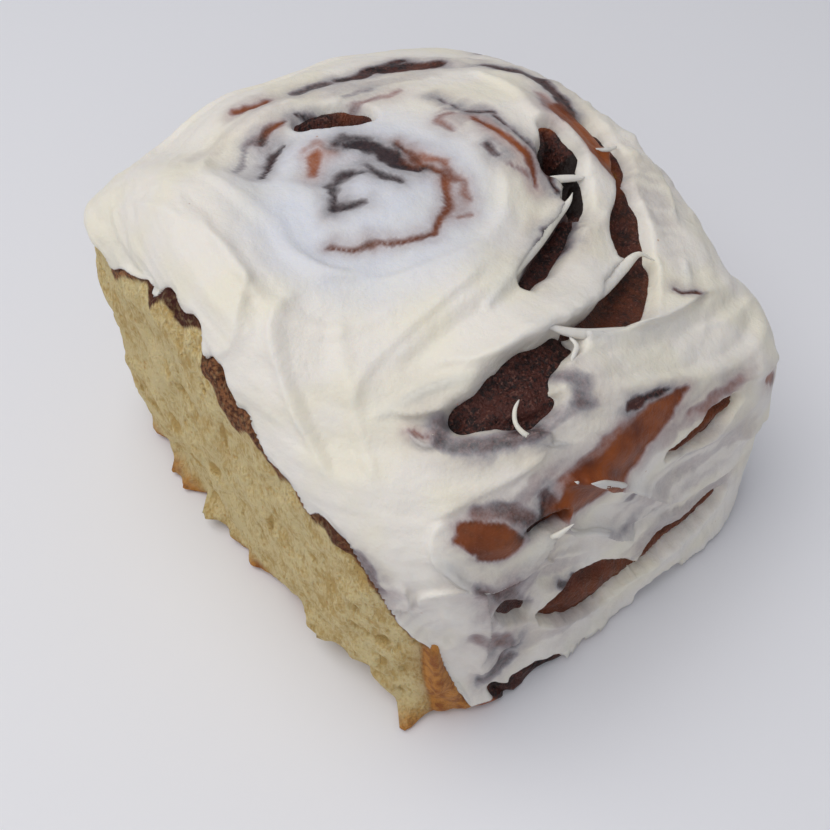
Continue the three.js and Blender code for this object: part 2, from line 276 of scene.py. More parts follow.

# %% [markdown]
# ## Where the dough shows
# The knife left the dough showing in two ways. A smear is a film of icing so thin that the brown shows
# through, almost level with the icing round it. An opening is a real gap, where a coil stands proud or the
# seam drops away. Each is a curve of (p, q, half width). `soft` is how wide its edge is, and `dark` says
# how much of it is cinnamon filling rather than browned crust; above 1 it paints near-black shade into a
# deep opening. A smear's `bare` is how much of the icing is gone. An opening's `sink` is how deep the
# dough falls away in it, and `lip` how high its rim is pushed up.

# %% Smears
SMEARS = [
    # the middle coil
    dict(path=[(-11.4, 4.4, 0.56), (-9.8, 8, 0.72), (-4.4, 9.6, 0.9), (-0.8, 8.6, 0.56)],
               soft=1.6, bare=0.85, dark=0.9),
    dict(path=[(-10.8, 4.4, 0.72), (-8, 2.2, 0.96), (-5.4, 0.9, 0.56)], soft=1.4, bare=0.85, dark=1.0),
    dict(path=[(0.6, 17.4, 0.64), (3, 17.8, 0.96), (5.4, 15.6, 1.28)], soft=1.6, bare=0.7, dark=0.9),
    dict(path=[(2, 15.6, 0.96), (4.4, 13.6, 1.52), (6, 10, 1.44), (6.2, 6.5, 1.2), (8, 3.6, 0.72)],
               soft=1.5, bare=0.95, dark=1.0),
    dict(path=[(1, 9.2, 0.48), (1.6, 5, 0.8), (3.2, 2, 0.64)], soft=1.3, bare=0.8, dark=1.0),
    dict(path=[(-15, -2.6, 0.6), (-13.4, -3.8, 0.5), (-9.6, -6.6, 0.5), (-5, -8.8, 0.6), (0, -9.7, 0.7),
               (5.2, -8, 0.8), (9.2, -4, 0.8), (10.2, 0.6, 0.6), (8.6, 6.4, 0.6), (8.9, 11.2, 0.5)],
               soft=1.1, bare=0.9, dark=0.45),
    dict(path=[(8.6, 6.4, 0.64), (10.8, 5.4, 0.64), (12.2, 1.6, 0.56), (11, -2.4, 0.64), (12.6, -4, 0.4),
               (10.4, -7, 0.32)], soft=1.7, bare=0.7, dark=0.2),
    dict(path=[(6.6, -9.8, 0.48), (8.6, -10, 0.48)], soft=1.2, bare=0.6, dark=0.3),
    dict(path=[(-7.2, 14, 0.7), (-5.2, 15.6, 1.2), (-3.2, 16.8, 0.7)], soft=1.6, bare=0.85, dark=0.25),
    dict(path=[(-5.6, 18.8, 0.4), (-2, 20, 0.4), (-0.8, 16, 0.4)], soft=1.8, bare=0.4, dark=0.3),
    # the second coil
    dict(path=[(-14.4, 19.6, 0.5), (-10.4, 23.2, 0.8), (-7.2, 24, 0.5)], soft=0.9, bare=1.0, dark=0.9),
    dict(path=[(-17.2, 23.2, 0.4), (-12.8, 27.2, 0.4), (-10, 27.6, 0.4)], soft=1.6, bare=0.5, dark=0.8),
    dict(path=[(-10, 26.8, 0.56), (-6.8, 28, 0.8), (-2.8, 28.8, 0.5)], soft=0.9, bare=1.0, dark=0.5),
    dict(path=[(-0.2, 28.6, 0.4), (3.3, 28, 0.56)], soft=0.8, bare=1.0, dark=0.9),
    dict(path=[(9.4, 25, 0.4), (13, 24.6, 0.4), (20, 23.6, 0.24)], soft=1.6, bare=0.55, dark=0.3),
    dict(path=[(10, 28.2, 0.32), (16, 28, 0.4)], soft=1.8, bare=0.4, dark=0.9),
    dict(path=[(23.6, 19, 0.16), (25.8, 12.5, 0.28), (28.2, 6.7, 0.36), (28.7, 0, 0.4), (27.4, -6.7, 0.64),
               (25.8, -12, 0.8)], soft=0.7, bare=1.0, dark=0.95),
    dict(path=[(25.2, 7.9, 0.56), (25.7, 0, 0.96), (25, -6.7, 0.8), (22.6, -10.4, 0.4)],
               soft=1.1, bare=0.95, dark=0.08),
    dict(path=[(22.6, 12.4, 0.32), (19.4, 11.6, 0.48), (19, 8, 0.4)], soft=1.5, bare=0.6, dark=0.4),
    dict(path=[(21.8, 1, 0.64), (21.3, -2.6, 0.64)], soft=1.1, bare=0.9, dark=0.9),
    dict(path=[(21.6, -5.6, 0.4), (22.2, -8, 0.4)], soft=1.4, bare=0.6, dark=0.4),
    dict(path=[(22.2, -20.3, 0.24), (18, -20.4, 0.32), (15.4, -21.2, 0.4), (13.6, -23.6, 0.32)],
               soft=0.8, bare=1.0, dark=1.0),
    # the third coil
    dict(path=[(-10, 39.6, 0.8), (-3.2, 38, 1.0)], soft=1.4, bare=0.9, dark=0.3),
    dict(path=[(4, 37.4, 1.2), (10.3, 36.6, 1.4)], soft=2.0, bare=0.7, dark=0.95),
    dict(path=[(14.3, 36.4, 1.6), (21.7, 37.2, 2.0), (29, 39.2, 1.6)], soft=1.4, bare=0.92, dark=0.95),
    dict(path=[(23.3, 35.8, 1.8), (29, 34.6, 2.4), (34.4, 34, 1.8)], soft=1.4, bare=0.95, dark=0.6),
    dict(path=[(41.8, 28, 0.6), (45.8, 21.7, 1.4), (48.4, 16.7, 1.6), (48.6, 10.8, 1.8), (46.8, 5, 2.0)],
               soft=1.8, bare=0.88, dark=0.95),
    dict(path=[(42, 10, 1.2), (40.6, 5, 1.6)], soft=2.4, bare=0.5, dark=0.2),
    dict(path=[(43.4, 2, 4.2), (43.2, -6.7, 4.4), (41.8, -11.6, 3.0)], soft=1.5, bare=1.0, dark=0.08),
    dict(path=[(26, -17, 1.4), (22, -18.8, 2.0), (16.6, -21, 1.8), (10, -24.2, 1.0)],
               soft=1.8, bare=0.78, dark=0.7),
    dict(path=[(-23.5, -37.4, 0.8), (-25, -41, 1.2), (-21.6, -46, 1.2), (-15, -50.4, 0.8)],
               soft=4.4, bare=0.6, dark=0.9),
    dict(path=[(-3, -43.4, 0.6), (-1.4, -47, 1.0), (-4, -51, 0.8)], soft=4.6, bare=0.5, dark=0.8),
    dict(path=[(-27.6, -36, 0.6), (-27, -38.6, 0.4)], soft=0.8, bare=0.7, dark=0.3),
    dict(path=[(33.2, -36, 0.4), (36.8, -39.4, 0.8)], soft=0.8, bare=1.0, dark=0.6),
    # the front wall
    dict(path=[(-37.2, -59.6, 3.2), (-36.4, -63.2, 4.6), (-35, -66.6, 3.0)], soft=1.0, bare=1.0, dark=0.4),
    dict(path=[(-33.4, -56.6, 1.0), (-29.6, -60, 1.6), (-28.4, -66, 1.4)], soft=2.8, bare=0.66, dark=0.6),
    dict(path=[(-31, -67.4, 0.5), (-27.4, -68.6, 0.8), (-23.4, -66, 1.4), (-21.4, -63.6, 0.8)],
               soft=1.5, bare=0.8, dark=0.8),
    dict(path=[(-21.5, -70, 3.0), (-15, -70.4, 6.4), (-6.7, -69.4, 5.2), (2.5, -65.6, 3.8), (11.7, -62, 2.4),
               (17.5, -59.2, 0.7)], soft=2.0, bare=1.0, dark=0.06),
    dict(path=[(-17.5, -64, 0.8), (-10, -63, 1.0), (-2, -62.4, 1.0), (5.5, -60.4, 0.8)],
               soft=1.8, bare=0.6, dark=0.35),
    dict(path=[(1.4, -58.4, 0.5), (5, -57.4, 1.3), (9.6, -57.8, 1.2), (13.4, -57.4, 0.4)],
               soft=1.0, bare=0.95, dark=1.0),
    dict(path=[(45, -66.8, 0.7), (49, -68, 1.2), (52, -69, 0.8)], soft=1.8, bare=0.8, dark=0.05),
    dict(path=[(-45.8, -70.6, 0.8), (-44, -75.4, 1.8), (-39.4, -79.4, 1.8), (-35, -80.6, 0.8)],
               soft=4.0, bare=0.72, dark=0.6),
    dict(path=[(-44, -78, 1.4), (-41.8, -86, 1.0), (-38.4, -92, 0.6)], soft=4.2, bare=0.5, dark=0.7),
    dict(path=[(-30, -78.4, 0.8), (-26.8, -80, 0.8), (-24.6, -77, 0.6)], soft=2.6, bare=0.62, dark=0.55),
    dict(path=[(-55, -86, 0.6), (-52.4, -91, 1.2), (-48.8, -96, 1.4)], soft=4.2, bare=0.5, dark=0.5),
    dict(path=[(-28, -95.6, 0.6), (-25.4, -98, 1.1), (-22, -98.4, 0.5)], soft=1.6, bare=0.8, dark=0.9),
    dict(path=[(-60, -47, 0.6), (-59.6, -53, 0.8), (-62.6, -60, 0.5)], soft=2.6, bare=0.5, dark=0.6),
    dict(path=[(-62.6, -101, 0.5), (-57, -102, 1.4), (-50, -103.6, 0.9)], soft=3.4, bare=0.55, dark=0.8),
    dict(path=[(17, -66.6, 0.5), (24, -66, 1.4), (34, -63.4, 0.6)], soft=3.2, bare=0.42, dark=0.2),
    dict(path=[(-3, -84, 0.5), (-0.6, -84.6, 0.7)], soft=1.8, bare=0.5, dark=0.9),
    dict(path=[(-10, -90.8, 0.3), (2, -93.6, 0.5), (16, -94, 0.4)], soft=2.2, bare=0.34, dark=0.9),
    dict(path=[(-46, -101, 0.6), (-50, -99, 0.9), (-55, -100.4, 0.6)], soft=2.6, bare=0.45, dark=0.9),
    # the hidden sides
    dict(path=[(62, 22, 0.6), (67, 10, 2.2), (68, -6, 2.8), (66, -20, 1.6)],
               soft=2.6, bare=0.95, dark=0.15),
    dict(path=[(71, 12, 0.5), (73.4, -2, 0.9), (72, -16, 0.5)], soft=1.2, bare=0.95, dark=0.9),
    dict(path=[(82, -26, 0.8), (84, -38, 2.2), (80, -50, 1.2)], soft=2.4, bare=0.9, dark=0.3),
    dict(path=[(-22, 65, 0.5), (-8, 69.6, 1.2), (8, 70, 1.2), (24, 66, 0.6)], soft=2.4, bare=0.8, dark=0.7),
    dict(path=[(50, 40, 0.6), (56, 30, 1.6), (60, 18, 0.8)], soft=2.6, bare=0.6, dark=0.6),
]

# %% Openings
# An opening's `dark` above 1 paints it near-black: painted shade in a deep gap.
OPENINGS = [
    dict(path=[(-1, 26.4, 1.2), (4.2, 25.2, 2.1), (7.9, 23.9, 2.1), (10.6, 22.3, 1.1)],
               soft=0.8, sink=1.8, dark=0.7),
    dict(path=[(35.6, -0.8, 1.7), (34.6, -2.6, 2.2)], soft=0.8, sink=3.0, dark=0.45),
    dict(path=[(34.2, -3.4, 2.4), (33, -5.4, 2.9), (30.4, -9.2, 2.2)], soft=0.8, sink=7.0, dark=1.2),
    dict(path=[(30.8, -12.8, 1.3), (28.6, -15, 1.6), (27, -17, 0.7)], soft=0.7, sink=4.0, dark=1.15),
    dict(path=[(24.6, -18.2, 0.5), (20.6, -20.2, 0.9), (14.2, -23.4, 0.9), (7.4, -26.4, 0.5)],
               soft=1.1, sink=-0.6, dark=0.8),
    dict(path=[(48.6, 1, 0.9), (48.6, -6.7, 1.2), (46.4, -11.7, 1.1), (42.8, -14.2, 0.8)],
               soft=1.0, sink=1.6, dark=0.8),
    dict(path=[(41, -16.6, 1.0), (37.5, -20, 2.2), (33.3, -24.2, 2.6), (31, -27.4, 1.8)],
               soft=1.1, sink=0.8, dark=0.66),
    dict(path=[(31.6, -28.8, 1.4), (26.4, -31.8, 2.6), (20.4, -34.6, 3.2), (13.6, -36.4, 1.9),
               (6.4, -37, 0.4)], soft=0.7, sink=0.3, dark=0.6, lip=0.3),
    dict(path=[(4.2, -38, 1.2), (-0.5, -38.6, 2.0), (-5, -40, 3.4), (-10, -41.6, 4.6), (-15, -41, 4.2),
               (-19, -39.8, 2.8)], soft=1.2, sink=-0.7, dark=0.9),
    dict(path=[(-15, -43.6, 2.2), (-13, -46.2, 2.8), (-9.4, -46.8, 2.4)], soft=1.4, sink=-0.7, dark=0.9),
    dict(path=[(-29.4, -68.8, 0.7), (-25.6, -70, 1.1), (-22.6, -71, 0.8)], soft=0.8, sink=0.4, dark=0.9),
    dict(path=[(9.6, -76.8, 0.9), (15.7, -75.9, 2.1), (20.8, -73.8, 2.6), (25.8, -71, 3.0),
               (31, -68.8, 1.2)], soft=0.9, sink=-1.1, dark=0.45, lip=0.2),
    dict(path=[(-45.6, -84.4, 0.7), (-44.2, -88.6, 1.5), (-41, -92.6, 0.8)], soft=1.6, sink=0.6, dark=0.8),
    dict(path=[(-36.6, -99.6, 0.9), (-30, -102, 2.8), (-24, -104, 4.4), (-15, -106.3, 4.8),
               (-5, -107.6, 3.6), (3.4, -108.8, 1.2)], soft=1.1, sink=-1.0, dark=0.5, lip=0.3),
    dict(path=[(6.6, -108.8, 1.2), (13.3, -106.4, 2.8), (20.8, -104.6, 2.1), (28.3, -102.5, 2.2),
               (37.5, -99.2, 2.5), (46, -95.6, 1.2)], soft=1.2, sink=-1.1, dark=0.5, lip=0.2),
    dict(path=[(-61, -106.6, 1.0), (-59.4, -109.8, 1.8), (-57.4, -112.4, 2.2)],
               soft=0.9, sink=1.6, dark=1.0),
    dict(path=[(-54, -111.6, 1.2), (-48.4, -115, 2.6), (-42, -117.8, 2.8), (-35, -119.8, 1.6)],
               soft=1.1, sink=0.8, dark=0.9),
    dict(path=[(10, -120.6, 0.8), (22, -118.6, 1.4), (32, -116, 0.7)], soft=1.6, sink=0.6, dark=0.9),
]
SMEAR_CURVES = [(drawn(smear["path"], 0.7), smear) for smear in SMEARS]
OPENING_CURVES = [(drawn(opening["path"], 0.7), opening) for opening in OPENINGS]
print("smears:", len(SMEARS), "openings:", len(OPENINGS))

# %% [markdown]
# ## Ridges and furrows in the icing
# Thick icing keeps the knife's marks: a crest where the blade's edge ran, steep on one side and soft on the
# other, and a wide flat furrow beside it. A crest's curve is (p, q, half width) and its height; it is steep
# on its left side, looking along the curve, when `steep` is 1, and on its right when it is -1.

# %% Crests and furrows
CRESTS = [
    dict(path=[(-27.5, -30.4, 0.8), (-23.3, -33.7, 1.0), (-16.7, -36.2, 1.1), (-10, -37.8, 1.0),
               (-6, -38.4, 0.5)], height=1.4, steep=-1),
    dict(path=[(-18, -28, 1.4), (-8, -33.6, 2.2), (3, -34.6, 2.4), (14, -33, 2.2), (23, -30.2, 1.8),
               (31.4, -27.6, 0.9)], height=1.7, steep=-1),
    dict(path=[(3, -35.6, 0.8), (10, -37.6, 1.1), (20, -39.6, 1.2), (30, -40, 1.2), (37.5, -40.2, 1.0),
               (43, -41.8, 0.8)], height=1.5, steep=-1),
    dict(path=[(-33, -28, 1.6), (-26.7, -23.8, 2.0), (-16.7, -22.6, 2.0), (-3.3, -21.8, 1.6),
               (2.5, -20.8, 1.0)], height=0.9, steep=-1),
    dict(path=[(-46, -30, 1.8), (-41, -21, 2.4), (-34, -11, 2.2), (-25, -7, 1.4)], height=0.9, steep=1),
    dict(path=[(-52, -6, 1.4), (-44, -7.6, 2.0), (-36, -3.6, 1.8), (-30, 0.6, 1.2)], height=0.8, steep=-1),
    dict(path=[(-44, 30, 2.2), (-37, 18, 2.8), (-33, 6, 2.6), (-32, -6, 1.6)], height=0.8, steep=1),
    dict(path=[(-22, 4, 1.6), (-20, -6, 2.0), (-12, -14.6, 2.2), (0, -17.6, 2.2), (10, -15.6, 2.0),
               (18, -9, 1.6), (21, 0, 1.0)], height=0.9, steep=1),
    dict(path=[(-28, 24, 2.0), (-16, 32.4, 2.4), (-4, 33.6, 2.0), (4, 32, 1.0)], height=1.0, steep=-1),
    dict(path=[(-12.5, -54, 0.6), (-14.6, -51, 0.7), (-15.4, -47.6, 0.5), (-12.6, -45.2, 0.6)],
               height=1.7, steep=-1),
    dict(path=[(-15.6, -46, 0.7), (-15.8, -50, 0.8), (-13.8, -54.4, 0.9)], height=1.6, steep=1),
    dict(path=[(-40, -52, 1.6), (-30, -53, 2.0), (-20, -55.4, 1.6), (-14, -55, 0.9)], height=0.9, steep=-1),
    dict(path=[(-13.8, -67, 0.4), (-10.4, -73, 0.7), (-5.4, -77.2, 0.9), (2.5, -84.2, 0.8), (10, -89, 0.7),
               (18, -91.8, 0.5)], height=1.8, steep=-1),
    dict(path=[(-45.4, -69.4, 0.9), (-43.2, -73, 1.2), (-38.6, -76.4, 1.4), (-34, -77, 1.3),
               (-29.6, -74.6, 1.1), (-26, -72, 0.6)], height=1.7, steep=-1),
    dict(path=[(-47, -65, 0.8), (-46.4, -60, 1.0), (-42.6, -55.6, 1.0), (-38, -54, 0.6)],
               height=1.0, steep=1),
    dict(path=[(-29, -71.6, 0.8), (-23, -71.8, 0.6), (-22.4, -77.4, 0.7), (-20, -81.6, 0.8),
               (-11.7, -89.2, 0.9), (-6.7, -93.2, 0.9), (-1, -95.8, 0.9), (1.8, -101.6, 0.5)],
               height=1.4, steep=-1),
    dict(path=[(-31.2, -76.4, 0.6), (-30.8, -81.6, 0.8), (-28.2, -86.8, 0.5)], height=0.9, steep=1),
    dict(path=[(-46.5, -88, 1.0), (-43, -95, 1.4), (-38.6, -99.4, 1.6), (-30, -106.9, 1.8),
               (-20, -111.8, 1.9), (-8.3, -114.2, 2.0), (3.3, -113.4, 2.0), (10, -111, 1.9),
               (21.7, -107.8, 1.7), (33, -103.6, 1.5), (46.7, -98.4, 1.0)], height=1.1, steep=1),
    dict(path=[(-9, -90.2, 1.2), (5, -93, 1.8), (21.7, -91.4, 2.0), (38.3, -89.2, 1.6), (52, -84, 1.0)],
               height=1.0, steep=-1),
    dict(path=[(-60, -70, 0.8), (-55.4, -65.6, 1.0), (-50, -67.5, 1.0), (-46.4, -72.6, 1.1), (-50, -81, 1.0),
               (-55, -90.6, 0.9), (-60.4, -95.6, 0.6)], height=1.5, steep=1),
    dict(path=[(-63, -96, 0.8), (-57, -97.4, 1.2), (-50.4, -97, 1.2), (-44, -99.4, 0.8)],
               height=1.3, steep=-1),
    dict(path=[(-66, -62, 0.7), (-62, -66.4, 0.9), (-59, -64.6, 0.8), (-56, -60, 0.7)],
               height=1.2, steep=-1),
    dict(path=[(30, -62, 1.8), (42, -64, 2.4), (54, -62, 1.6)], height=0.9, steep=-1),
    dict(path=[(34, -78, 1.6), (46, -80, 2.0), (60, -76, 1.4)], height=0.8, steep=-1),
    dict(path=[(22, -18, 1.0), (27, -21, 1.5), (33, -18.6, 1.2)], height=0.9, steep=1),
    dict(path=[(36, 27, 1.4), (38.4, 14, 1.8), (36, 4, 1.6), (38, -6, 1.0)], height=0.9, steep=-1),
    dict(path=[(30, -46, 1.4), (42, -49, 1.8), (55, -48, 1.2)], height=0.6, steep=1),
    dict(path=[(52, 14, 1.6), (56, 0, 2.2), (54, -16, 2.0), (46, -28, 1.2)], height=1.0, steep=1),
    dict(path=[(64, 20, 1.6), (72, 2, 2.2), (74, -20, 2.0), (68, -44, 1.4)], height=1.2, steep=1),
    dict(path=[(84, 12, 1.4), (92, -10, 2.0), (92, -36, 1.8), (84, -62, 1.2)], height=1.0, steep=1),
    dict(path=[(-40, 46, 1.8), (-20, 54, 2.4), (4, 56, 2.2), (28, 52, 1.6)], height=1.0, steep=-1),
]
CREST_CURVES = [(drawn(crest["path"], 0.8), crest) for crest in CRESTS]

FURROWS = [
    dict(path=[(2, -46, 5), (18, -48.5, 7.5), (36, -50, 7.5), (54, -48, 5)], depth=1.0),
    dict(path=[(-24, -28.5, 3), (-12, -29.4, 4), (4, -29, 4), (20, -26, 3)], depth=0.8),
    dict(path=[(-46, -40, 4), (-38, -27, 5), (-29, -14, 5), (-22, -10, 4)], depth=0.7),
    dict(path=[(-30, 26, 4), (-27, 8, 5), (-24, -10, 5), (-8, -16, 3)], depth=0.6),
    dict(path=[(-18, -80, 3.5), (-6, -88, 4), (10, -95, 3.5), (30, -94, 3)], depth=0.7),
    dict(path=[(-34, -84, 3), (-27, -92, 4), (-16, -98, 3.5), (-4, -101, 2)], depth=0.7),
    dict(path=[(12, -82, 4), (30, -82, 5), (46, -74, 4)], depth=0.6),
]
FURROW_CURVES = [(drawn(furrow["path"], 1.0), furrow) for furrow in FURROWS]
print("crests:", len(CRESTS), "furrows:", len(FURROWS))

# %% Curls
# Where the knife lifted off it left ribs and curls: rows of p, q, height over the smooth roll, half width.
CURLS = [
    [(-3, -27.4, -0.6, 0.5), (4.5, -24.6, 0.1, 0.9), (14, -20.2, 0.6, 1.2), (20.5, -17.2, 0.9, 1.1),
     (25.4, -15.4, 1.2, 0.6), (27.2, -14.2, 1.3, 0.2)],
    [(2.5, -35.2, -0.4, 0.5), (9, -33.8, 0.2, 0.9), (17.5, -31.8, 0.5, 1.2), (26.5, -28.6, 0.9, 1.1),
     (31, -27.4, 1.1, 0.6), (32.6, -29.4, 0.8, 0.25)],
    [(-1.4, -33.6, 1.3, 0.15), (1.4, -35, 1.0, 0.45), (4, -37, 0.6, 0.8), (8, -38.6, 0.3, 1.0),
     (14, -39.6, 0.1, 1.0), (24, -40.6, -0.3, 0.8), (36, -41.4, -0.8, 0.4)],
    [(4.4, -38, -0.4, 0.3), (4.0, -39.6, 0.1, 0.45), (2.2, -41.2, 0.3, 0.45), (0.4, -42.6, 0.2, 0.3)],
    [(-11.4, -43.4, 0.2, 0.2), (-13.4, -44.6, 0.6, 0.34), (-15.2, -46.8, 0.8, 0.38),
     (-15.8, -49.6, 1.0, 0.46), (-15.2, -52.4, 1.1, 0.6), (-14.2, -54.6, 0.9, 0.6), (-12, -57, 0.3, 0.4)],
    [(-14.8, -66.2, 1.2, 0.25), (-12.6, -69, 0.9, 0.75), (-10.2, -72.2, 0.5, 0.8), (-5.4, -77.8, 0.3, 0.8),
     (3, -84.8, 0.1, 0.7), (13, -89.8, -0.3, 0.4)],
    [(-16.6, -65.2, 0.4, 0.55), (-16.1, -64.8, 0.4, 0.45)],
    [(-22.6, -70.6, 1.9, 0.15), (-25.6, -71.8, 1.4, 0.6), (-28.6, -72.6, 0.8, 0.9), (-31.4, -73.8, 0.4, 1.0),
     (-34.4, -75.6, 0.1, 0.9), (-38, -77.2, -0.3, 0.5)],
    [(-24.4, -72, 0.6, 0.3), (-22.2, -78, 0.5, 0.6), (-18.6, -83.6, 0.5, 0.8), (-12.6, -88.8, 0.4, 0.8),
     (-7, -93.2, 0.3, 0.8), (-1, -96, 0.2, 0.6), (0.6, -99.6, -0.2, 0.3)],
    [(-29.5, -30.4, -0.4, 0.35), (-24, -31.4, 0.3, 0.7), (-19.6, -32.4, 0.4, 0.7), (-15.4, -34.0, 0.1, 0.5),
     (-12.8, -34.8, -0.4, 0.3)],
    [(-27.4, -35.2, 0.1, 0.3), (-28.4, -38.2, 0.4, 0.45), (-27.4, -40.4, 0.4, 0.5),
     (-25.4, -38.8, 0.3, 0.35)],
    [(25.2, -9.6, -0.8, 0.5), (28, -10.4, -0.4, 0.75), (31.4, -11.2, -0.6, 0.7), (33.4, -11.8, -0.8, 0.4)],
    [(25.2, -12.2, -0.8, 0.55), (25.9, -12.6, -0.8, 0.5)],
    [(41.4, -7.6, -0.5, 0.3), (44.2, -8.4, 0.1, 0.5), (47.4, -8.2, 0.1, 0.4), (50, -7.4, -0.5, 0.25)],
    [(40.5, -33.6, 0.6, 0.15), (38.2, -36.2, 0.4, 0.6), (34.6, -38.6, 0.2, 0.8), (30, -39.8, -0.3, 0.5)],
    [(-44, -58.4, -0.3, 0.4), (-46.6, -63.6, 0.5, 0.9), (-46.6, -69, 0.6, 1.0), (-43.4, -74.6, 0.5, 1.0),
     (-38.4, -77.8, 0.1, 0.7)],
]
RIB_CURVES = [drawn(path, 0.8) for path in CURLS]
print("curls:", len(CURLS))

# %% [markdown]
# ## How far the icing reaches
# The icing was spread before the roll was pulled from its neighbours, so on the torn sides it stops in a
# ragged edge near the top, and on the other sides it runs down towards the foot.

# %% The icing's reach
ICING_REACH = [
    (0, 95), (30, 88), (45, 80), (60, 76), (90, 72), (120, 74), (140, 78), (151, 72), (160, 59.5),
    (169, 51),
    (180, 49.5), (191, 54), (198, 59), (207, 67), (214, 73), (219, 76), (223, 86), (225.6, 95), (228, 101),
    (230.3, 104), (232, 106), (233, 112), (234, 118), (236, 125), (250, 125), (270, 125), (300, 124),
    (315, 121), (335, 110), (350, 101),
]


# Where a drip hangs over the edge: direction, how far it hangs, half width in degrees.
DRIPS = [
    (165, 5.5, 1.5), (183.5, 6.0, 1.7), (150, 2.0, 3.0), (194, 2.2, 1.5), (203, 2.6, 1.6),
    (212, 2.0, 1.4), (128, 4.0, 3.0), (104, 5.0, 2.2), (86, 3.0, 3.5), (66, 5.0, 2.0),
]


EDGE_RADIUS = 60  # the edge's wandering is read off a circle this far out


def icing_reach(theta):
    """How far out the icing goes in direction theta, drips included."""
    degrees = np.degrees(theta) % 360
    angles, reaches = np.array(ICING_REACH, float).T
    drips = sum(hang * bell(turn_between(theta, at) / np.radians(half)) for at, hang, half in DRIPS)
    return np.interp(degrees, angles, reaches, period=360) + drips


def ragged_reach(p, q):
    """The reach with its edge wandering in and out by a few millimetres."""
    theta = np.arctan2(q, p)
    x, y = np.cos(theta) * EDGE_RADIUS, np.sin(theta) * EDGE_RADIUS
    return icing_reach(theta) + 1.6 * noise(x / 7, y / 7, 0, 11) + 1.1 * noise(x / 2.6, y / 2.6, 0, 12)


# %% [markdown]
# ## Levels
# Everything on the roll is a level above the smooth roll. The bread lies below it by the icing's thickness,
# sinks into the seam and steps down from each coil to the next one out. The icing fills the seams half way,
# carries the crests and furrows, and dives under the bread's surface where it was scraped off, so the
# edge of each bare streak is where the two surfaces cross.

# %% The level of the bread
ICING_THICKNESS = 2.6
TORN_MIDDLE, TORN_HALF = 140, 92


def torn_side(p, q):
    """1 on the sides torn from a neighbour, 0 on the crusty ones."""
    away = np.degrees(np.abs(turn_between(np.arctan2(q, p), TORN_MIDDLE)))
    return 1 - smoothstep(TORN_HALF - 6, TORN_HALF + 2, away)


def warped(p, q, size, reach, seed):
    """The map pushed about by noise, so that no edge drawn on it stays even."""
    return p + reach * noise(p / size, q / size, 0, seed), q + reach * noise(p / size, q / size, 0, seed + 1)


# Veils: wide patches scraped thin in streaks: p, q, half length, half width, turn, share gone, how dark.
VEILS = [
    (-43, -83, 10, 9, 20, 0.26, 0.6), (-27, -90, 12, 7, -30, 0.2, 0.6), (-52, -99, 12, 6, 0, 0.28, 0.8),
    (-22, -60, 9, 4, 10, 0.26, 0.5), (20, -67, 20, 4, 18, 0.26, 0.3), (22, -84, 30, 8, 16, 0.22, 0.6),
    (24, -98, 34, 4, 16, 0.28, 0.6), (-30, -108, 16, 5, -20, 0.2, 0.6), (-14, -50, 12, 4, -10, 0.3, 0.9),
    (-62, -62, 6, 18, 0, 0.16, 0.5), (46, -20, 5, 14, -30, 0.14, 0.6), (38, 30, 14, 5, -40, 0.14, 0.7),
    (-6, 34, 20, 4, 8, 0.12, 0.6), (18, 30, 14, 3, -10, 0.18, 0.7), (24, 10, 4, 12, 0, 0.2, 0.4),
]


# A smear's faint wash as a share of its bareness, and how much a veil counts when darkness is averaged.
WASH = 0.24
VEIL_WEIGHT = 0.4


def turned(across, aside, degrees):
    """The same step measured along and across a direction."""
    angle = np.radians(degrees)
    return across * np.cos(angle) + aside * np.sin(angle), aside * np.cos(angle) - across * np.sin(angle)


def smear_masks(p, q):
    """How much of the icing the smears take, and how dark the dough is there, with its weight. The film
    thins over the smear's soft edge, and a faint wash spreads a few millimetres further."""
    p, q = warped(p, q, 4.2, 0.9, 21)
    p, q = warped(p, q, 1.5, 0.45, 23)
    left, dark, weight = np.ones(p.shape), np.zeros(p.shape), np.full(p.shape, 1e-6)
    for curve, smear in SMEAR_CURVES:
        distance, _, extra = nearest_on(curve, p, q, margin=12)
        outside = np.abs(distance) - extra[..., 0]
        core = smear["bare"] * (1 - smoothstep(-0.6, 0.66 * smear["soft"], outside))
        wash = WASH * smear["bare"] * bell(outside.clip(0) / (0.8 + 1.1 * smear["soft"]))
        left *= 1 - np.maximum(core, wash)
        near = (1 - smoothstep(0, 3.5, outside)) ** 2
        dark += smear["dark"] * near
        weight += near
    for a, b, u, v, turn, share, is_dark in VEILS:
        across, aside = turned(p - a, q - b, turn)
        patch = bell((across / u) ** 2 + (aside / v) ** 2)
        wavering = noise(across / 15, aside / 1.4, 0, 27) + 0.4 * noise(across / 7, aside / 3.2, 0, 28)
        left *= 1 - share * patch * (0.25 + 0.75 * smoothstep(-0.5, 0.7, wavering))
        dark += VEIL_WEIGHT * is_dark * patch
        weight += VEIL_WEIGHT * patch
    return 1 - left, dark, weight


EDGE_WIDTH = 0.9  # what the icing's net needs on top of an opening's own soft edge


